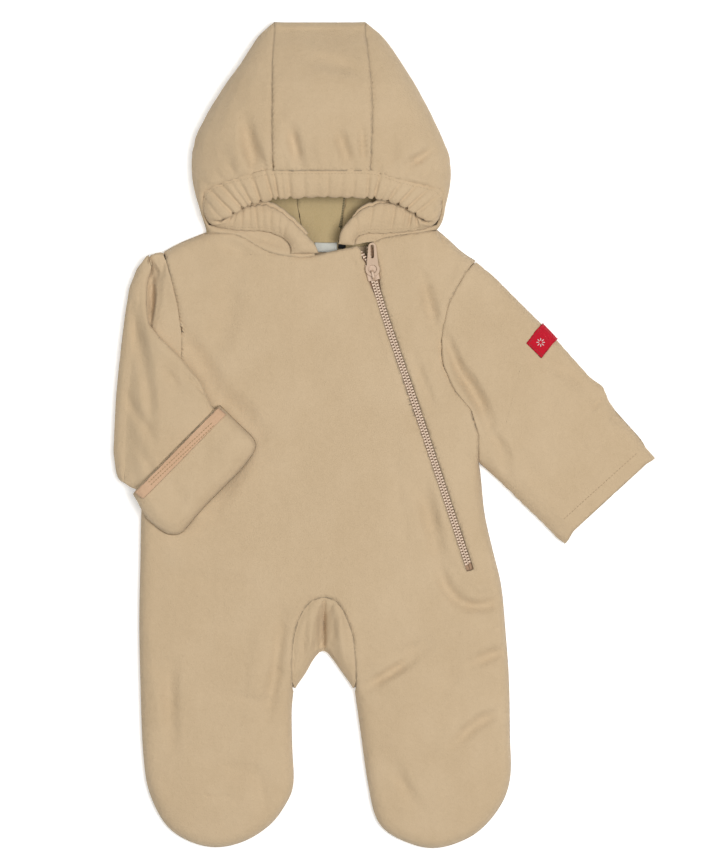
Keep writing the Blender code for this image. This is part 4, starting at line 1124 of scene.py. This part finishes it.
@dataclass(frozen=True)
class Stitching:
    """A row of stitches: short rounded threads sunk a little into the cloth."""

    pitch: float = 3.2
    long: float = 2.3
    radius: float = 0.42
    sides: int = 6
    # Share of a stitch's length and share of its radius there
    swells: tuple[tuple[float, float], ...] = ((0, 0.5), (0.18, 0.95), (0.5, 1.0), (0.82, 0.95),
                                               (1, 0.5))

    def row(self, places: np.ndarray, normals: np.ndarray) -> tuple[np.ndarray, list[list[int]]]:
        """Stitches along seated places.

        Args:
            places: Places along the row.
            normals: The cloth's normals there.

        Returns:
            Points and faces of the stitches.
        """
        total = length(places)
        count = max(1, int(total / self.pitch))
        points, faces = [], []
        both = np.hstack([places, normals])
        for k in range(count):
            middle = (k + 0.5) * self.pitch / total
            half = self.long / total / 2
            shares = np.clip([middle - half, middle, middle + half], 0, 1)
            run = np.array([np.interp(shares, np.linspace(0, 1, len(both)), both[:, c])
                            for c in range(6)]).T
            faces += shifted(tube_faces(len(self.swells), self.sides), len(points))
            points += self.stitch(run[:, :3], unit(run[:, 3:])[1])
        return np.array(points), faces

    def stitch(self, spine: np.ndarray, normal: np.ndarray) -> list[np.ndarray]:
        """One stitch: a bar that rises in the middle and dips at its ends.

        Args:
            spine: Three places along it.
            normal: The cloth's normal at its middle.

        Returns:
            Its points, ring by ring.
        """
        side = unit(np.cross(unit(spine[2] - spine[0]), normal))
        points = []
        for share, swell in self.swells:
            centre = spine[0] + (spine[2] - spine[0]) * share
            lift = self.radius * (0.75 - 1.2 * (2 * share - 1) ** 4)
            for k in range(self.sides):
                turn = 2 * math.pi * k / self.sides
                radial = side * math.cos(turn) + normal * math.sin(turn)
                points.append(centre + normal * lift + radial * self.radius * swell)
        return points


def sew(name: str, rows: Sequence[tuple[np.ndarray, np.ndarray]], stitching: Stitching,
        finish: Finish) -> None:
    """Make one piece of several rows of stitches.

    Args:
        name: The piece's name.
        rows: Seated places and normals of each row.
        stitching: The stitch.
        finish: The thread.
    """
    points, faces = [], []
    for places, normals in rows:
        more, more_faces = stitching.row(places, normals)
        faces += shifted(more_faces, len(points))
        points += list(more)
    settle(new_piece(name, np.array(points), faces, finish))


def seated(surface: Surface, plan: np.ndarray, above: float = 120.0) -> tuple[np.ndarray,
                                                                             np.ndarray]:
    """Seat a plan curve on a surface.

    Args:
        surface: The surface.
        plan: The curve's plan points.
        above: The height that the search starts from.

    Returns:
        Its places and normals.
    """
    hits = [surface.top(x, y, above) for x, y in plan]
    return np.array([h[0] for h in hits]), np.array([h[1] for h in hits])


# The suit's parts

@dataclass
class Body:
    """Front, back and the gusset between the legs."""

    creases: tuple[Crease, ...] = (
        Crease(-157, 62, -137, 146, 19, 1.3, bend=-4),
        Crease(-62, 95, -58, 20, 20, 0.5),
        Crease(-182, 92, -150, 36, 18, 2.2),
        Crease(-150, 36, -114, 4, 20, 2.6),
        Crease(-116, 0, -154, -68, 19, 2.4, bend=-4),
        Crease(-166, -82, -196, -66, 11, 1.6, bend=3),
        Crease(36, 142, 50, 96, 9, 1.6, bend=-2),
        Crease(50, 96, 66, 44, 9, 1.6, bend=-2),
        Crease(64, 62, 88, 8, 8, 2.6, bend=4),
        Crease(24, 74, 45, 24, 9, 1.0),
        Crease(36, 70, 50, 30, 8, -0.7),
        Crease(24, -36, 46, -100, 12, 1.0, bend=3),
        Crease(12, 60, 44, -40, 12, 0.7),
        Crease(40, -40, 54, -124, 12, 1.3, bend=-3),
        Crease(50, -122, 74, -153, 10, 2.0, bend=-4),
        Crease(68, -152, 108, -150, 9, 2.2, bend=-3),
        Crease(78, -138, 100, -134, 9, -1.0),
        Crease(78, -206, 113, -192, 9, 2.4),
        Crease(-16, -228, 26, -202, 8, 2.4),
        Crease(8, -200, 36, -188, 10, 0.9),
        Crease(44, -235, 67, -211, 12, 0.8),
        Crease(106, -248, 64, -278, 10, 2.2, bend=-3),
        Crease(10, -300, 28, -332, 10, 1.2),
        Crease(-92, -160, -106, -258, 9, 1.7, bend=2),
        Crease(-108, -165, -120, -250, 12, -0.6),
        Crease(-190, -205, -189, -282, 11, 1.3, bend=-3),
        Crease(-198, -128, -100, -136, 14, 0.7),
        Crease(-166, -324, -134, -325, 3.5, 0.7, bend=-1.5, press=Press.PINCHED),
        Crease(-150, -300, -110, -306, 12, 0.8),
        Crease(-114, -300, -108, -338, 9, 0.9),
        Crease(-150, 176, -120, 160, 10, 0.7),
        Crease(-140, -60, -70, -4, 16, -0.6),
    )
    gusset_creases: tuple[Crease, ...] = (
        Crease(-53.5, -150, -53.5, -204, 3.6, 4.4, press=Press.PINCHED),
        Crease(-56.5, -158, -57, -200, 4.0, 1.2),
        Crease(-62, -154, -68, -205, 7, -1.1),
        Crease(-41, -154, -36, -205, 7, -1.2),
    )

    def build(self) -> None:
        """Build and dress the three panels."""
        shifts = (Lap(Zip.line[3:], 1.3, 9.0), Tug(-25, 167, 13, (5.5, 0.5, 0)),
                  Tug(-18, 153, 10, (3.0, 0.5, 0)))
        relief = Relief(self.creases, shifts=shifts)
        cloth_piece("front", relief)
        cloth_piece("back", Relief(low=4.0, high=12.0))
        cloth_piece("gusset", Relief(self.gusset_creases + self.creases, waves=()),
                    longest=1.9)


@dataclass
class LeftSleeve:
    """The straight sleeve with the mitten flap turned under its end."""

    hem_in: float = 13.0
    creases: tuple[Crease, ...] = (
        Crease(54, 92, 72, 50, 8, 1.6),
        Crease(66, 62, 94, 12, 11, 3.0, bend=2),
        Crease(94, 4, 112, -32, 10, 1.4, bend=3),
        Crease(140, 68, 188, 38, 14, 1.6, bend=3),
        Crease(146, 22, 156, 34, 3.5, 0.5, bend=-2, press=Press.PINCHED),
        Crease(176, -6, 190, -20, 5, 0.4, press=Press.PINCHED),
        Crease(86, 118, 118, 84, 14, -0.5),
        Crease(200, 36, 186, 22, 6, 1.4, press=Press.PINCHED),
        Crease(120, -20, 150, -50, 14, 0.6),
    )
    cuff: tuple[tuple[float, float], ...] = ((239, -24), (168, -88))
    shifts: tuple[Tug, ...] = (
        Tug(195, 42, 15, (2.4, 1.8, 0)),
        Tug(209, 15, 8, (-3.2, -2.0, 0)),
        Tug(160, -92, 14, (2.0, -3.6, 0)),
        Tug(241, -18, 10, (2.0, -1.2, 0)),
    )

    def build(self) -> bpy.types.Object:
        """Build and dress the sleeve and its flap.

        Returns:
            The sleeve.
        """
        relief = Relief(self.creases, low=8.5, high=14.0, pucker=0.05, shifts=self.shifts)
        sleeve = cloth_piece("left_sleeve", relief)
        cloth_piece("left_mitten_flap", STILL)
        return sleeve

    def sew_hem(self, surface: Surface) -> None:
        """Sew the cuff's hem.

        Args:
            surface: The sleeve's top.
        """
        start, end = (np.array(p, float) for p in self.cuff)
        run = unit(end - start)
        back = np.array([run[1], -run[0]])
        shares = np.linspace(0.03, 0.97, 60)[:, None]
        plan = start + (end - start) * shares + back * self.hem_in
        sew("left_cuff_stitches", [seated(surface, plan)], Stitching(radius=0.32),
            Finish.THREAD_SOFT)


@dataclass
class RightSleeve:
    """The sleeve folded over the body, its mitten flap turned back, and the flap's hem."""

    creases: tuple[Crease, ...] = (
        Crease(-227, 114, -209, 2, 10, 1.9, bend=4, above=15),
        Crease(-231, 36, -208, -4, 8, 1.4, above=15),
        Crease(-181, 57, -148, 24, 3.0, 0.8, press=Press.PINCHED, above=15),
        Crease(-178, 60.5, -145, 27.5, 2.6, -0.8, above=15),
        Crease(-198, 60, -183, 40, 8, 0.9, above=15),
        Crease(-222, -8, -206, -34, 8, 0.9, above=15),
        Crease(-209, 140, -208, 99, 5, 4.0, under=17.5),
        Crease(-194, 100, -182, 84, 8, 2.2, under=17.5),
    )
    shifts: tuple[Tug, ...] = (
        Tug(-213, 154, 13, (2.5, 5.0, 0.0), 11.0),
        Tug(-205, 157, 12, (-4.0, 2.5, 5.5), 5.0, 17.0),
        Tug(-203, 160, 20, (-0.5, 0.5, 2.5), 8.0, 17.0),
        Tug(-230, -37, 9, (-1.5, -5.5, 0)),
    )
    flap_creases: tuple[Crease, ...] = (
        Crease(-196, -46, -176, -60, 14, 0.8),
        Crease(-150, -20, -130, 0, 12, -0.6),
    )
    hem_line: tuple[tuple[float, float], ...] = ((-209, -45), (-182, -19.5), (-150, 10.5))
    hem_rows: tuple[float, float] = (0.0, 3.0)

    def build(self) -> list[bpy.types.Object]:
        """Build and dress the sleeve, the flap and the hem.

        Returns:
            The flap and the hem.
        """
        relief = Relief(self.creases, low=8.0, high=12.0, seam_sink=0.6, shifts=self.shifts)
        cloth_piece("right_sleeve", relief,
                    longest=3.0)
        flap = cloth_piece("right_mitten_flap", Relief(self.flap_creases, low=18, high=26),
                           longest=3.2)
        hem = cloth_piece("right_flap_hem",
                          Relief(waves=(Ripple(9, 0.12, 4),), seam_sink=0.2, pucker=0.1),
                          Finish.HEM, 2.2)
        return [flap, hem]

    def sew_hem(self, surface: Surface) -> None:
        """Sew the hem's two rows.

        Args:
            surface: The flap's and the hem's top.
        """
        line = smooth_curve(self.hem_line, 2.0)
        rows = [seated(surface, beside(line, shift)) for shift in self.hem_rows]
        sew("flap_hem_stitches", rows, Stitching(pitch=2.8, long=2.0), Finish.THREAD)


@dataclass
class Hood:
    """The hood's centre panel and its two sides."""

    # Height below which the hood's upward faces take the painted shade
    inside: float = 14.0
    creases: tuple[Crease, ...] = (
        Crease(-70, 336, -20, 325, 11, 1.4, bend=2),
        Crease(-84, 276, -76, 242, 9, 2.8),
        Crease(-42, 274, -30, 240, 9, 2.2),
        Crease(-124, 284, -112, 238, 11, 3.2, bend=-2),
        Crease(-104, 262, -102, 238, 6, -0.8),
        Crease(22, 243, 44, 257, 7, 2.8, bend=-1),
        Crease(-20, 276, -17, 240, 6, 1.7),
        Crease(-122, 181, -84, 170, 6, 2.6),
        Crease(-22, 177, 34, 181, 5, 2.6),
        Crease(4, 262, 8, 238, 10, 0.9),
        Crease(-138, 262, -126, 240, 9, -0.9),
        Crease(14, 270, 24, 250, 9, -0.7),
        Crease(-60, 262, -56, 240, 8, -0.5),
        Crease(-92, 300, -94, 270, 10, 0.5),
    )
    # The back's two seams inside the hood: one lies shut, the other shows its overlock
    shut_seam: tuple[tuple[float, float], ...] = ((-82, 240), (-79.5, 219), (-77.5, 207),
                                                  (-74, 190), (-71, 168))
    overlocked_seam: tuple[tuple[float, float], ...] = ((-32.5, 238), (-34, 219), (-35.5, 207),
                                                        (-37, 196), (-39.5, 186))
    overlock_rows: tuple[float, float] = (-0.7, 0.8)
    gather_reach: tuple[float, float] = (6.0, 12.0)
    gather_wider: float = 1.5
    gather_depth: float = 1.1

    def build(self) -> bpy.types.Object:
        """Build and dress the three panels.

        Returns:
            The centre panel.
        """
        creases = self.creases + tuple(self.gathers())
        relief = Relief(creases, low=14, high=26, shifts=(Lap(self.shut_seam, 0.6, 5.0),))
        panels = [cloth_piece("hood_centre", relief),
                  cloth_piece("hood_right_side", relief),
                  cloth_piece("hood_left_side", relief)]
        # Paint shade on the inside of each panel
        for panel in panels:
            paint_inside_shade(panel, self.inside)
        return panels[0]

    def gathers(self) -> list[Crease]:
        """Short creases that run up into the hood from the casing's gathers.

        Returns:
            The creases.
        """
        rows = np.array(Casing.table)
        least, more = self.gather_reach
        creases = []
        for x, y, half, depth, _ in Casing.gathers:
            if y < Casing.brow:
                continue
            row = rows[np.linalg.norm(rows[:, :2] - (x, y), axis=1).argmin()]
            out = unit(row[:2] - row[3:5])
            place = np.array([x, y]) + out * ((row[:2] - (x, y)) @ out)
            start, end = place - out, place + out * (least + more * depth)
            creases.append(Crease(*start, *end, half + self.gather_wider, self.gather_depth * depth))
        return creases

    def sew_inner_seam(self, surface: Surface) -> None:
        """Overlock the back's left seam inside the hood.

        Args:
            surface: The inside of the hood's back.
        """
        curve = smooth_curve(self.overlocked_seam, 1.6)
        rows = [seated(surface, beside(curve, shift), 12.0) for shift in self.overlock_rows]
        sew("hood_inner_seam_stitches", rows, Stitching(pitch=1.5, long=1.25, radius=0.85),
            Finish.THREAD_DARK)


@dataclass
class Casing:
    """The elastic casing round the face opening, a tube of fleece with uneven gathers.

    Its table gives the stitched edge x, y, z and the free edge x, y, z from the right chin over
    the brow to the left chin. Its gathers give x and y of each groove's middle, its half width, its
    share of the depth and its slant.
    """

    table: tuple[tuple[float, ...], ...] = (
        (-81, 163.2, 22.2, -60, 163.8, 22.4),
        (-81.5, 168.0, 22.0, -65, 173.5, 23.4),
        (-85, 174.0, 21.3, -79, 188.0, 23.2),
        (-93, 180.5, 20.6, -93, 200.0, 22.8),
        (-107, 185.0, 20.2, -108, 206.0, 22.4),
        (-128, 185.5, 19.8, -127, 203.5, 21.8),
        (-146, 187.5, 19.6, -140, 197.0, 21.6),
        (-156, 191.0, 20.0, -147.0, 192.8, 22.6),
        (-160.5, 199.0, 21.2, -149.0, 193.4, 25.6),
        (-161, 208.0, 23.2, -146, 193.0, 29.0),
        (-158, 219.4, 27.5, -138, 197.4, 31.3),
        (-138, 228.2, 35.2, -124, 206.0, 32.6),
        (-113, 233.5, 39.6, -108, 210.5, 33.5),
        (-99, 236.0, 41.0, -95, 212.5, 34.0),
        (-56, 236.0, 42.5, -56, 214.5, 34.5),
        (-12, 236.0, 41.0, -14, 213.5, 34.0),
        (13, 228.5, 38.0, 3, 211.0, 33.5),
        (31, 224.2, 33.5, 17, 206.5, 32.4),
        (50, 219.0, 27.0, 28, 200.0, 31.2),
        (51.5, 208.0, 22.8, 37, 192.8, 29.0),
        (50, 198.0, 20.8, 40.5, 192.6, 25.8),
        (45.5, 190.5, 19.8, 37.5, 192.0, 23.2),
        (37, 186.5, 19.4, 32, 196.0, 21.6),
        (22, 184.5, 19.6, 25, 202.0, 21.6),
        (4, 183.5, 19.9, 8, 207.0, 22.0),
        (-12, 183.5, 20.3, -8, 206.0, 22.4),
        (-21, 181.0, 20.8, -23, 199.0, 22.8),
        (-26, 177.0, 21.6, -36.5, 184.5, 23.2),
        (-27.5, 170.5, 22.3, -40, 171.5, 22.6),
    )
    gathers: tuple[tuple[float, float, float, float, float], ...] = (
        (-72, 174, 3.0, 0.15, 0.0), (-86, 189, 3.5, 0.25, 0.1), (-94, 191, 2.6, 0.2, 0.0),
        (-101, 194, 2.4, 0.3, 0.1), (-108, 195, 2.6, 0.25, 0.0), (-114, 196, 2.2, 0.5, -0.1),
        (-121, 195, 2.4, 0.35, 0.0), (-128, 195, 2.2, 0.5, 0.0), (-134, 194, 2.2, 0.4, 0.1),
        (-139.5, 193, 2.0, 0.5, 0.1),
        (-152, 203, 2.6, 0.8, 0.1), (-147, 212, 2.4, 0.75, -0.1), (-137, 216, 2.6, 0.75, -0.15),
        (-130, 218, 2.2, 0.35, -0.1), (-124, 219, 2.8, 0.6, -0.1), (-114, 221, 2.4, 0.8, -0.1),
        (-103, 223, 2.0, 0.75, -0.15), (-97, 224, 2.0, 0.85, 0.0), (-91, 225, 2.0, 0.3, 0.1),
        (-85, 225, 3.4, 0.6, 0.05), (-72, 225, 4.0, 0.35, 0.0), (-59, 225, 4.5, 0.25, 0.0),
        (-50, 225, 2.6, 0.4, 0.0), (-38, 224, 4.0, 0.3, 0.0), (-27, 224, 3.4, 0.4, 0.05),
        (-14, 223, 2.0, 0.6, 0.0), (-6, 221, 1.8, 0.9, 0.1), (1, 219, 2.0, 0.3, 0.0),
        (9.5, 218, 2.4, 0.65, 0.1), (21, 214, 2.2, 0.85, 0.15), (30, 211, 2.2, 0.65, 0.1),
        (38, 207, 2.2, 0.6, 0.0), (44, 200, 2.4, 0.5, 0.0),
        (30, 192, 1.8, 0.85, 0.0), (24, 194, 1.8, 0.85, 0.0), (18, 194, 1.6, 0.3, 0.0),
        (8, 195, 2.4, 0.55, 0.0), (-2, 195, 2.6, 0.25, 0.0), (-12, 194, 2.6, 0.45, 0.0),
        (-24, 188, 2.6, 0.35, 0.0),
    )
    half: float = 3.5
    puffed: float = 1.2
    powers: tuple[float, float] = (2.0, 0.7)
    wall: float = 1.6
    least_fat: float = 0.15
    step: float = 1.7
    around: int = 26
    scallop: float = 0.16
    lap: float = 0.08
    narrow: float = 0.62
    slant_run: float = 18.0
    end_run: float = 4.5
    corners: tuple[tuple[float, float], ...] = ((-148, 194), (40, 193.5))
    corner_calm: float = 14.0
    # The gathers past this y are the brow's, which run on into the hood
    brow: ClassVar[float] = 200.0
    stitched_column: int = 3
    outer: np.ndarray | None = None
    # Share of the casing's length where the turned edge starts and ends, and its section
    turned_spans: tuple[tuple[float, float], ...] = ((0.035, 0.225), (0.775, 0.955))
    turned_section: tuple[tuple[float, float], ...] = (
        (-2.0, -0.6), (1.4, 0.1), (3.3, -0.5), (4.4, -1.5), (3.6, -2.6), (-2.0, -2.4))

    def rings(self) -> tuple[np.ndarray, np.ndarray]:
        """Outer and inner rings of the tube.

        Returns:
            Both as arrays of rings, points and coordinates.
        """
        table = np.array(self.table)
        edges = smooth_curve(table, self.step)
        middles = (edges[:, :3] + edges[:, 3:]) / 2
        run = np.concatenate([[0], np.cumsum(np.linalg.norm(np.diff(middles, axis=0), axis=1))])
        stitched, width = edges[:, :3], edges[:, 3:] - edges[:, :3]
        normal = unit(np.cross(np.gradient(middles, axis=0), width))
        normal *= np.sign(normal[len(normal) // 2, 2])
        places = [run[np.linalg.norm(middles[:, :2] - (x, y), axis=1).argmin()]
                  for x, y, *_ in self.gathers]
        angles = np.linspace(0, 2 * math.pi, self.around, endpoint=False)
        across = 0.5 - 0.5 * np.cos(angles)
        rise = np.sin(angles)
        high = np.sign(rise) * np.abs(rise) ** np.where(across < 0.5, *self.powers)
        outer, inner = [], []
        for i, place in enumerate(run):
            dent = np.zeros(self.around)
            for where, (_, _, half, depth, slant) in zip(places, self.gathers):
                off = place - where + slant * self.slant_run * (across - 0.5)
                dent = np.maximum(dent, depth * np.exp(-(off / (half * self.narrow)) ** 2))
            end = min(place, run[-1] - place)
            swell = math.sqrt(min(1.0, (end + 0.6) / self.end_run))
            near = min(math.dist(edges[i, 3:5], corner) for corner in self.corners)
            calm = fade(near / self.corner_calm)
            puff = self.puffed - (0.35 + 0.65 * calm) * dent
            wave = self.scallop * calm * (0.5 - dent)
            reach = across * (1 + wave * (across > 0.5) * 2 * (across - 0.5))
            reach = reach - self.lap * (self.puffed - dent) * fade(1 - across / 0.3)
            fat = high * self.half * puff * swell
            outer.append(stitched[i] + width[i] * reach[:, None] + normal[i] * fat[:, None])
            thin = 1 - self.wall / np.linalg.norm(width[i]) * 2
            less = np.sign(fat) * np.maximum(np.abs(fat) - self.wall, self.least_fat)
            inside = 0.5 + (reach - 0.5) * thin
            inner.append(stitched[i] + width[i] * inside[:, None] + normal[i] * less[:, None])
        return np.array(outer), np.array(inner)

    def build(self) -> None:
        """Build and dress the casing."""
        outer, inner = self.rings()
        outer = outer + Ripple(7, 0.16, 31).at(outer.reshape(-1, 3)).reshape(outer.shape[:2] + (1,))
        rows, count = outer.shape[:2]
        points = np.vstack([outer.reshape(-1, 3), inner.reshape(-1, 3)])
        faces = grid_faces(rows, count, closed=True)
        size = rows * count
        faces += shifted([face[::-1] for face in faces], size)
        for base in (0, size - count):
            for k in range(count):
                a, b = base + k, base + (k + 1) % count
                faces.append([a, b, size + b, size + a])
        piece = new_piece("hood_casing_cloth", points, faces, Finish.CASING)
        settle(piece, ["hood_casing"])
        self.outer = outer

    def sew(self) -> None:
        """Sew the casing's row of topstitching beside its stitched edge."""
        places = self.outer[:, self.stitched_column]
        normals = unit(places - self.outer.mean(axis=1))
        sew("casing_stitches", [(places - normals * 0.25, normals)],
            Stitching(pitch=3.0, long=2.1, radius=0.26), Finish.THREAD_SOFT)

    def build_turned_edge(self) -> None:
        """Build the narrow turned edge that shows inside the lower part of the opening."""
        points, faces = [], []
        for start, end in self.turned_spans:
            ids = np.arange(int(start * len(self.outer)), int(end * len(self.outer)))
            free = self.outer[ids, self.around // 2]
            inward = unit(free - self.outer[ids].mean(axis=1))
            taper = np.sin(np.linspace(0.05, 1, len(ids)) * math.pi) ** 0.35
            faces += shifted(tube_faces(len(ids), len(self.turned_section)), len(points))
            for i in range(len(ids)):
                for out, up in self.turned_section:
                    points.append(free[i] + inward[i] * out * taper[i] + np.array([0, 0, up]))
        piece = new_piece("casing_turned_edge", np.array(points), faces, Finish.CASING)
        settle(piece)


@dataclass
class Zip:
    """Tapes, moulded teeth, slider and pull."""

    line: tuple[tuple[float, float], ...] = ((-19.4, 171.8), (-14, 159), (-10.4, 148.5),
                                             (-8.6, 139.5), (4, 99), (26, 35), (51, -40),
                                             (78, -122))
    pitch: float = 2.65
    start: float = 5.0
    end_gap: float = 3.0
    spread: float = 4.8
    spread_end: float = 15.0
    half: float = 2.95
    past: float = 0.7
    tooth_long: float = 1.25
    tall: float = 2.5
    sink: float = 0.25
    bevel: float = 0.3
    glance: float = 0.002

    def frame_at(self, distance: float) -> tuple[np.ndarray, np.ndarray]:
        """Find a place on the zip's line.

        Args:
            distance: Its distance from the line's start.

        Returns:
            The place, and the direction across the line to the wearer's left.
        """
        curve = smooth_curve(self.line, 1.0)
        share = distance / length(curve)
        here = along(curve, [share])[0]
        ahead, behind = min(share + self.glance, 1), share - self.glance
        way = unit(along(curve, [ahead])[0] - along(curve, [behind])[0])
        return here, np.array([-way[1], way[0]])

    def tooth(self, here: np.ndarray, across: np.ndarray, side: float, open_by: float,
              top: float) -> tuple[list[np.ndarray], list[list[int]]]:
        """One tooth: a bar with a wider head that reaches past the middle.

        Args:
            here: Its place on the line.
            across: The direction across the zip.
            side: 1 on the wearer's left, -1 on the right.
            open_by: How far the side stands off the middle.
            top: Height of its top.

        Returns:
            Points and faces.
        """
        way = np.array([across[1], -across[0]])
        plan = ((-self.past, 0.55), (-self.past + 0.45, 1.0), (0.5, 1.0), (0.8, 0.95),
                (1.4, 1.35), (self.half, 1.8))
        outline = [(u, w * self.tooth_long / 2) for u, w in plan]
        outline += [(u, -w) for u, w in reversed(outline)]
        points = []
        for shrink, z in ((1.0, top - self.tall), (1.0, top - 0.45), (0.72, top)):
            for u, w in outline:
                middle = (self.half - self.past) / 2
                off = open_by + middle + (u - middle) * (0.5 + 0.5 * shrink)
                plan_place = here + across * side * off + way * w * shrink
                points.append(np.array([*plan_place, z]))
        count = len(outline)
        faces = grid_faces(3, count, closed=True)
        faces += [list(range(count)), [2 * count + k for k in range(count)]]
        return points, faces

    def build_teeth(self) -> None:
        """Build both rows of teeth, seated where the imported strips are."""
        total = length(smooth_curve(self.line, 1.0))
        for word, side, shift in (("left", 1, 0.0), ("right", -1, 0.5)):
            node = f"zip_teeth_{word}"
            strip = Surface([Suit.nodes[node]])
            points, faces = [], []
            count = int((total - self.start - self.end_gap) / self.pitch)
            for k in range(count):
                distance = self.start + (k + shift) * self.pitch
                here, across = self.frame_at(distance)
                open_by = self.spread * max(0.0, 1 - distance / self.spread_end)
                seat = here + across * side * (open_by + 0.15 + self.half / 2)
                top = strip.top(*seat)[0][2] - self.sink
                more, more_faces = self.tooth(here, across, side, open_by, top)
                faces += shifted(more_faces, len(points))
                points += more
            piece = new_piece(f"{node}_moulded", np.array(points), faces, Finish.TEETH)
            piece.data.shade_flat()
            settle(piece, [node])

    def build_tapes(self) -> None:
        """Build both tapes as woven strips."""
        for word in ("left", "right"):
            cloth_piece(f"zip_tape_{word}", STILL, Finish.TAPE)

    def build_slider(self) -> None:
        """Build the slider and the pull with rounded edges."""
        for node, body in (("zip_slider", GARMENT), ("zip_pull", PULL)):
            tidy = Suit.merged(node)
            bmesh.ops.dissolve_limit(tidy, angle_limit=0.02, verts=tidy.verts, edges=tidy.edges)
            hard = [e for e in tidy.edges if len(e.link_faces) == 2
                    and e.calc_face_angle() > Shell.SHARP]
            bmesh.ops.bevel(tidy, geom=hard, offset=self.bevel * MM, segments=2, affect="EDGES",
                            profile=0.5, clamp_overlap=True)
            mesh = bpy.data.meshes.new(f"{node}_moulded")
            tidy.to_mesh(mesh)
            tidy.free()
            piece = put(mesh.name, mesh)
            dress(piece, Finish.PULL)
            settle(piece, [node], body)


@dataclass
class Labels:
    """The label on the left sleeve, and the label and tab inside the neck."""

    corners: tuple[tuple[float, float], ...] = ((128.2, 82.0), (143.8, 69.2), (157.0, 84.5),
                                                (141.0, 98.0))
    longest: float = 1.6
    edges_sewn: tuple[tuple[int, int], ...] = ((0, 1), (1, 2), (3, 0))
    inset: float = 0.84
    star_arms: int = 8

    def build(self) -> bpy.types.Object:
        """Build and dress the labels.

        Returns:
            The sleeve's label.
        """
        wavy = replace(STILL, waves=(Ripple(9, 0.3, 2),), low=2, high=4,
                       shifts=(Tug(-52, 171, 60, (0, -3.2, 0)),))
        sleeve = cloth_piece("sleeve_label", STILL, Finish.LABEL,
                             self.longest)
        cloth_piece("neck_label", wavy, Finish.NECK_LABEL,
                    self.longest)
        cloth_piece("neck_tab", STILL, Finish.TAB, self.longest)
        return sleeve

    def sew(self, surface: Surface) -> None:
        """Sew round the sleeve label and work a plain star of stitches on it.

        Args:
            surface: The label's top.
        """
        corners = np.array(self.corners)
        middle = corners.mean(axis=0)
        inset = middle + (corners - middle) * self.inset
        rows = []
        for a, b in self.edges_sewn:
            plan = inset[a] + (inset[b] - inset[a]) * np.linspace(0, 1, 20)[:, None]
            rows.append(seated(surface, plan))
        sew("label_edge_stitches", rows, Stitching(pitch=1.5, long=1.2, radius=0.3),
            Finish.THREAD_EDGE)
        centre = middle + (corners[0] - middle) * 0.08
        arms = []
        for turn in 2 * math.pi / self.star_arms * np.arange(self.star_arms):
            way = np.array([math.cos(turn), math.sin(turn)])
            plan = centre + way * np.linspace(1.2, 4.2, 5)[:, None]
            arms.append(seated(surface, plan))
        sew("label_star", arms, Stitching(pitch=3.0, long=2.7, radius=0.42),
            Finish.THREAD_WHITE)


@dataclass
class Studio:
    """Floor, lights and the camera straight above."""

    centre: tuple[float, float] = (-21.15, 2.7)
    tall: float = 777.6
    focus: float = 18.0
    away: float = 4200.0
    sensor: float = 36.0
    floor: float = 9000.0
    under: float = 0.4
    sky_colour: Colour = (0.97, 1.0, 0.90)
    sky_strength: float = 0.13
    # Name, place and size in metres, power in watts
    lamps: tuple[tuple[str, Place, float, float], ...] = (
        ("key_lamp", (1.15, 0.0, 3.7), 1.5, 119.0),
        ("fill_lamp", (-1.2, 0.2, 3.8), 2.4, 46.0),
    )

    def build(self) -> None:
        """Build the stage, light it and place the camera."""
        self.lay_floor()
        self.light()
        data = bpy.data.cameras.new("camera")
        data.sensor_width = self.sensor
        data.lens = self.sensor * self.away / self.tall
        data.clip_end = 100.0
        camera = put("camera", data)
        camera.location = Vector((*self.centre, self.focus + self.away)) * MM
        bpy.context.scene.camera = camera

    def lay_floor(self) -> None:
        """Lay the pale surface."""
        half = self.floor / 2
        mesh = bpy.data.meshes.new("floor")
        mesh.from_pydata([(x * MM, y * MM, -self.under * MM) for x, y in
                          ((-half, -half), (half, -half), (half, half), (-half, half))],
                         [], [(0, 1, 2, 3)])
        mesh.materials.append(Paper().material())
        floor = put("floor", mesh)

    def light(self) -> None:
        """Hang a soft key lamp to the right and a fill to the left, under a pale sky."""
        world = bpy.data.worlds.new("studio")
        world.use_nodes = True
        sky = world.node_tree.nodes["Background"]
        sky.inputs["Color"].default_value = (*self.sky_colour, 1)
        sky.inputs["Strength"].default_value = self.sky_strength
        scene = bpy.context.scene
        scene.world = world
        scene.view_settings.view_transform = "Standard"
        for name, place, size, power in self.lamps:
            data = bpy.data.lights.new(name, "AREA")
            data.size = size
            data.energy = power
            lamp = put(name, data)
            lamp.location = place
            lamp.rotation_euler = (-Vector(place)).to_track_quat("-Z", "Y").to_euler()


def main() -> None:
    """Build the suit's looks piece by piece."""
    logging.basicConfig(level=logging.INFO, format="%(message)s")
    Suit.load()
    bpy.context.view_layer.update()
    Studio().build()
    Body().build()
    left = LeftSleeve()
    left.sew_hem(Surface([left.build()]))
    right = RightSleeve()
    right.sew_hem(Surface(right.build()))
    hood = Hood()
    hood.sew_inner_seam(Surface([hood.build()]))
    casing = Casing()
    casing.build()
    casing.sew()
    casing.build_turned_edge()
    closure = Zip()
    closure.build_tapes()
    closure.build_teeth()
    closure.build_slider()
    labels = Labels()
    labels.sew(Surface([labels.build()]))
    log.info("suit: %d finishes in use", len(_made))


if __name__ == "__main__":
    main()
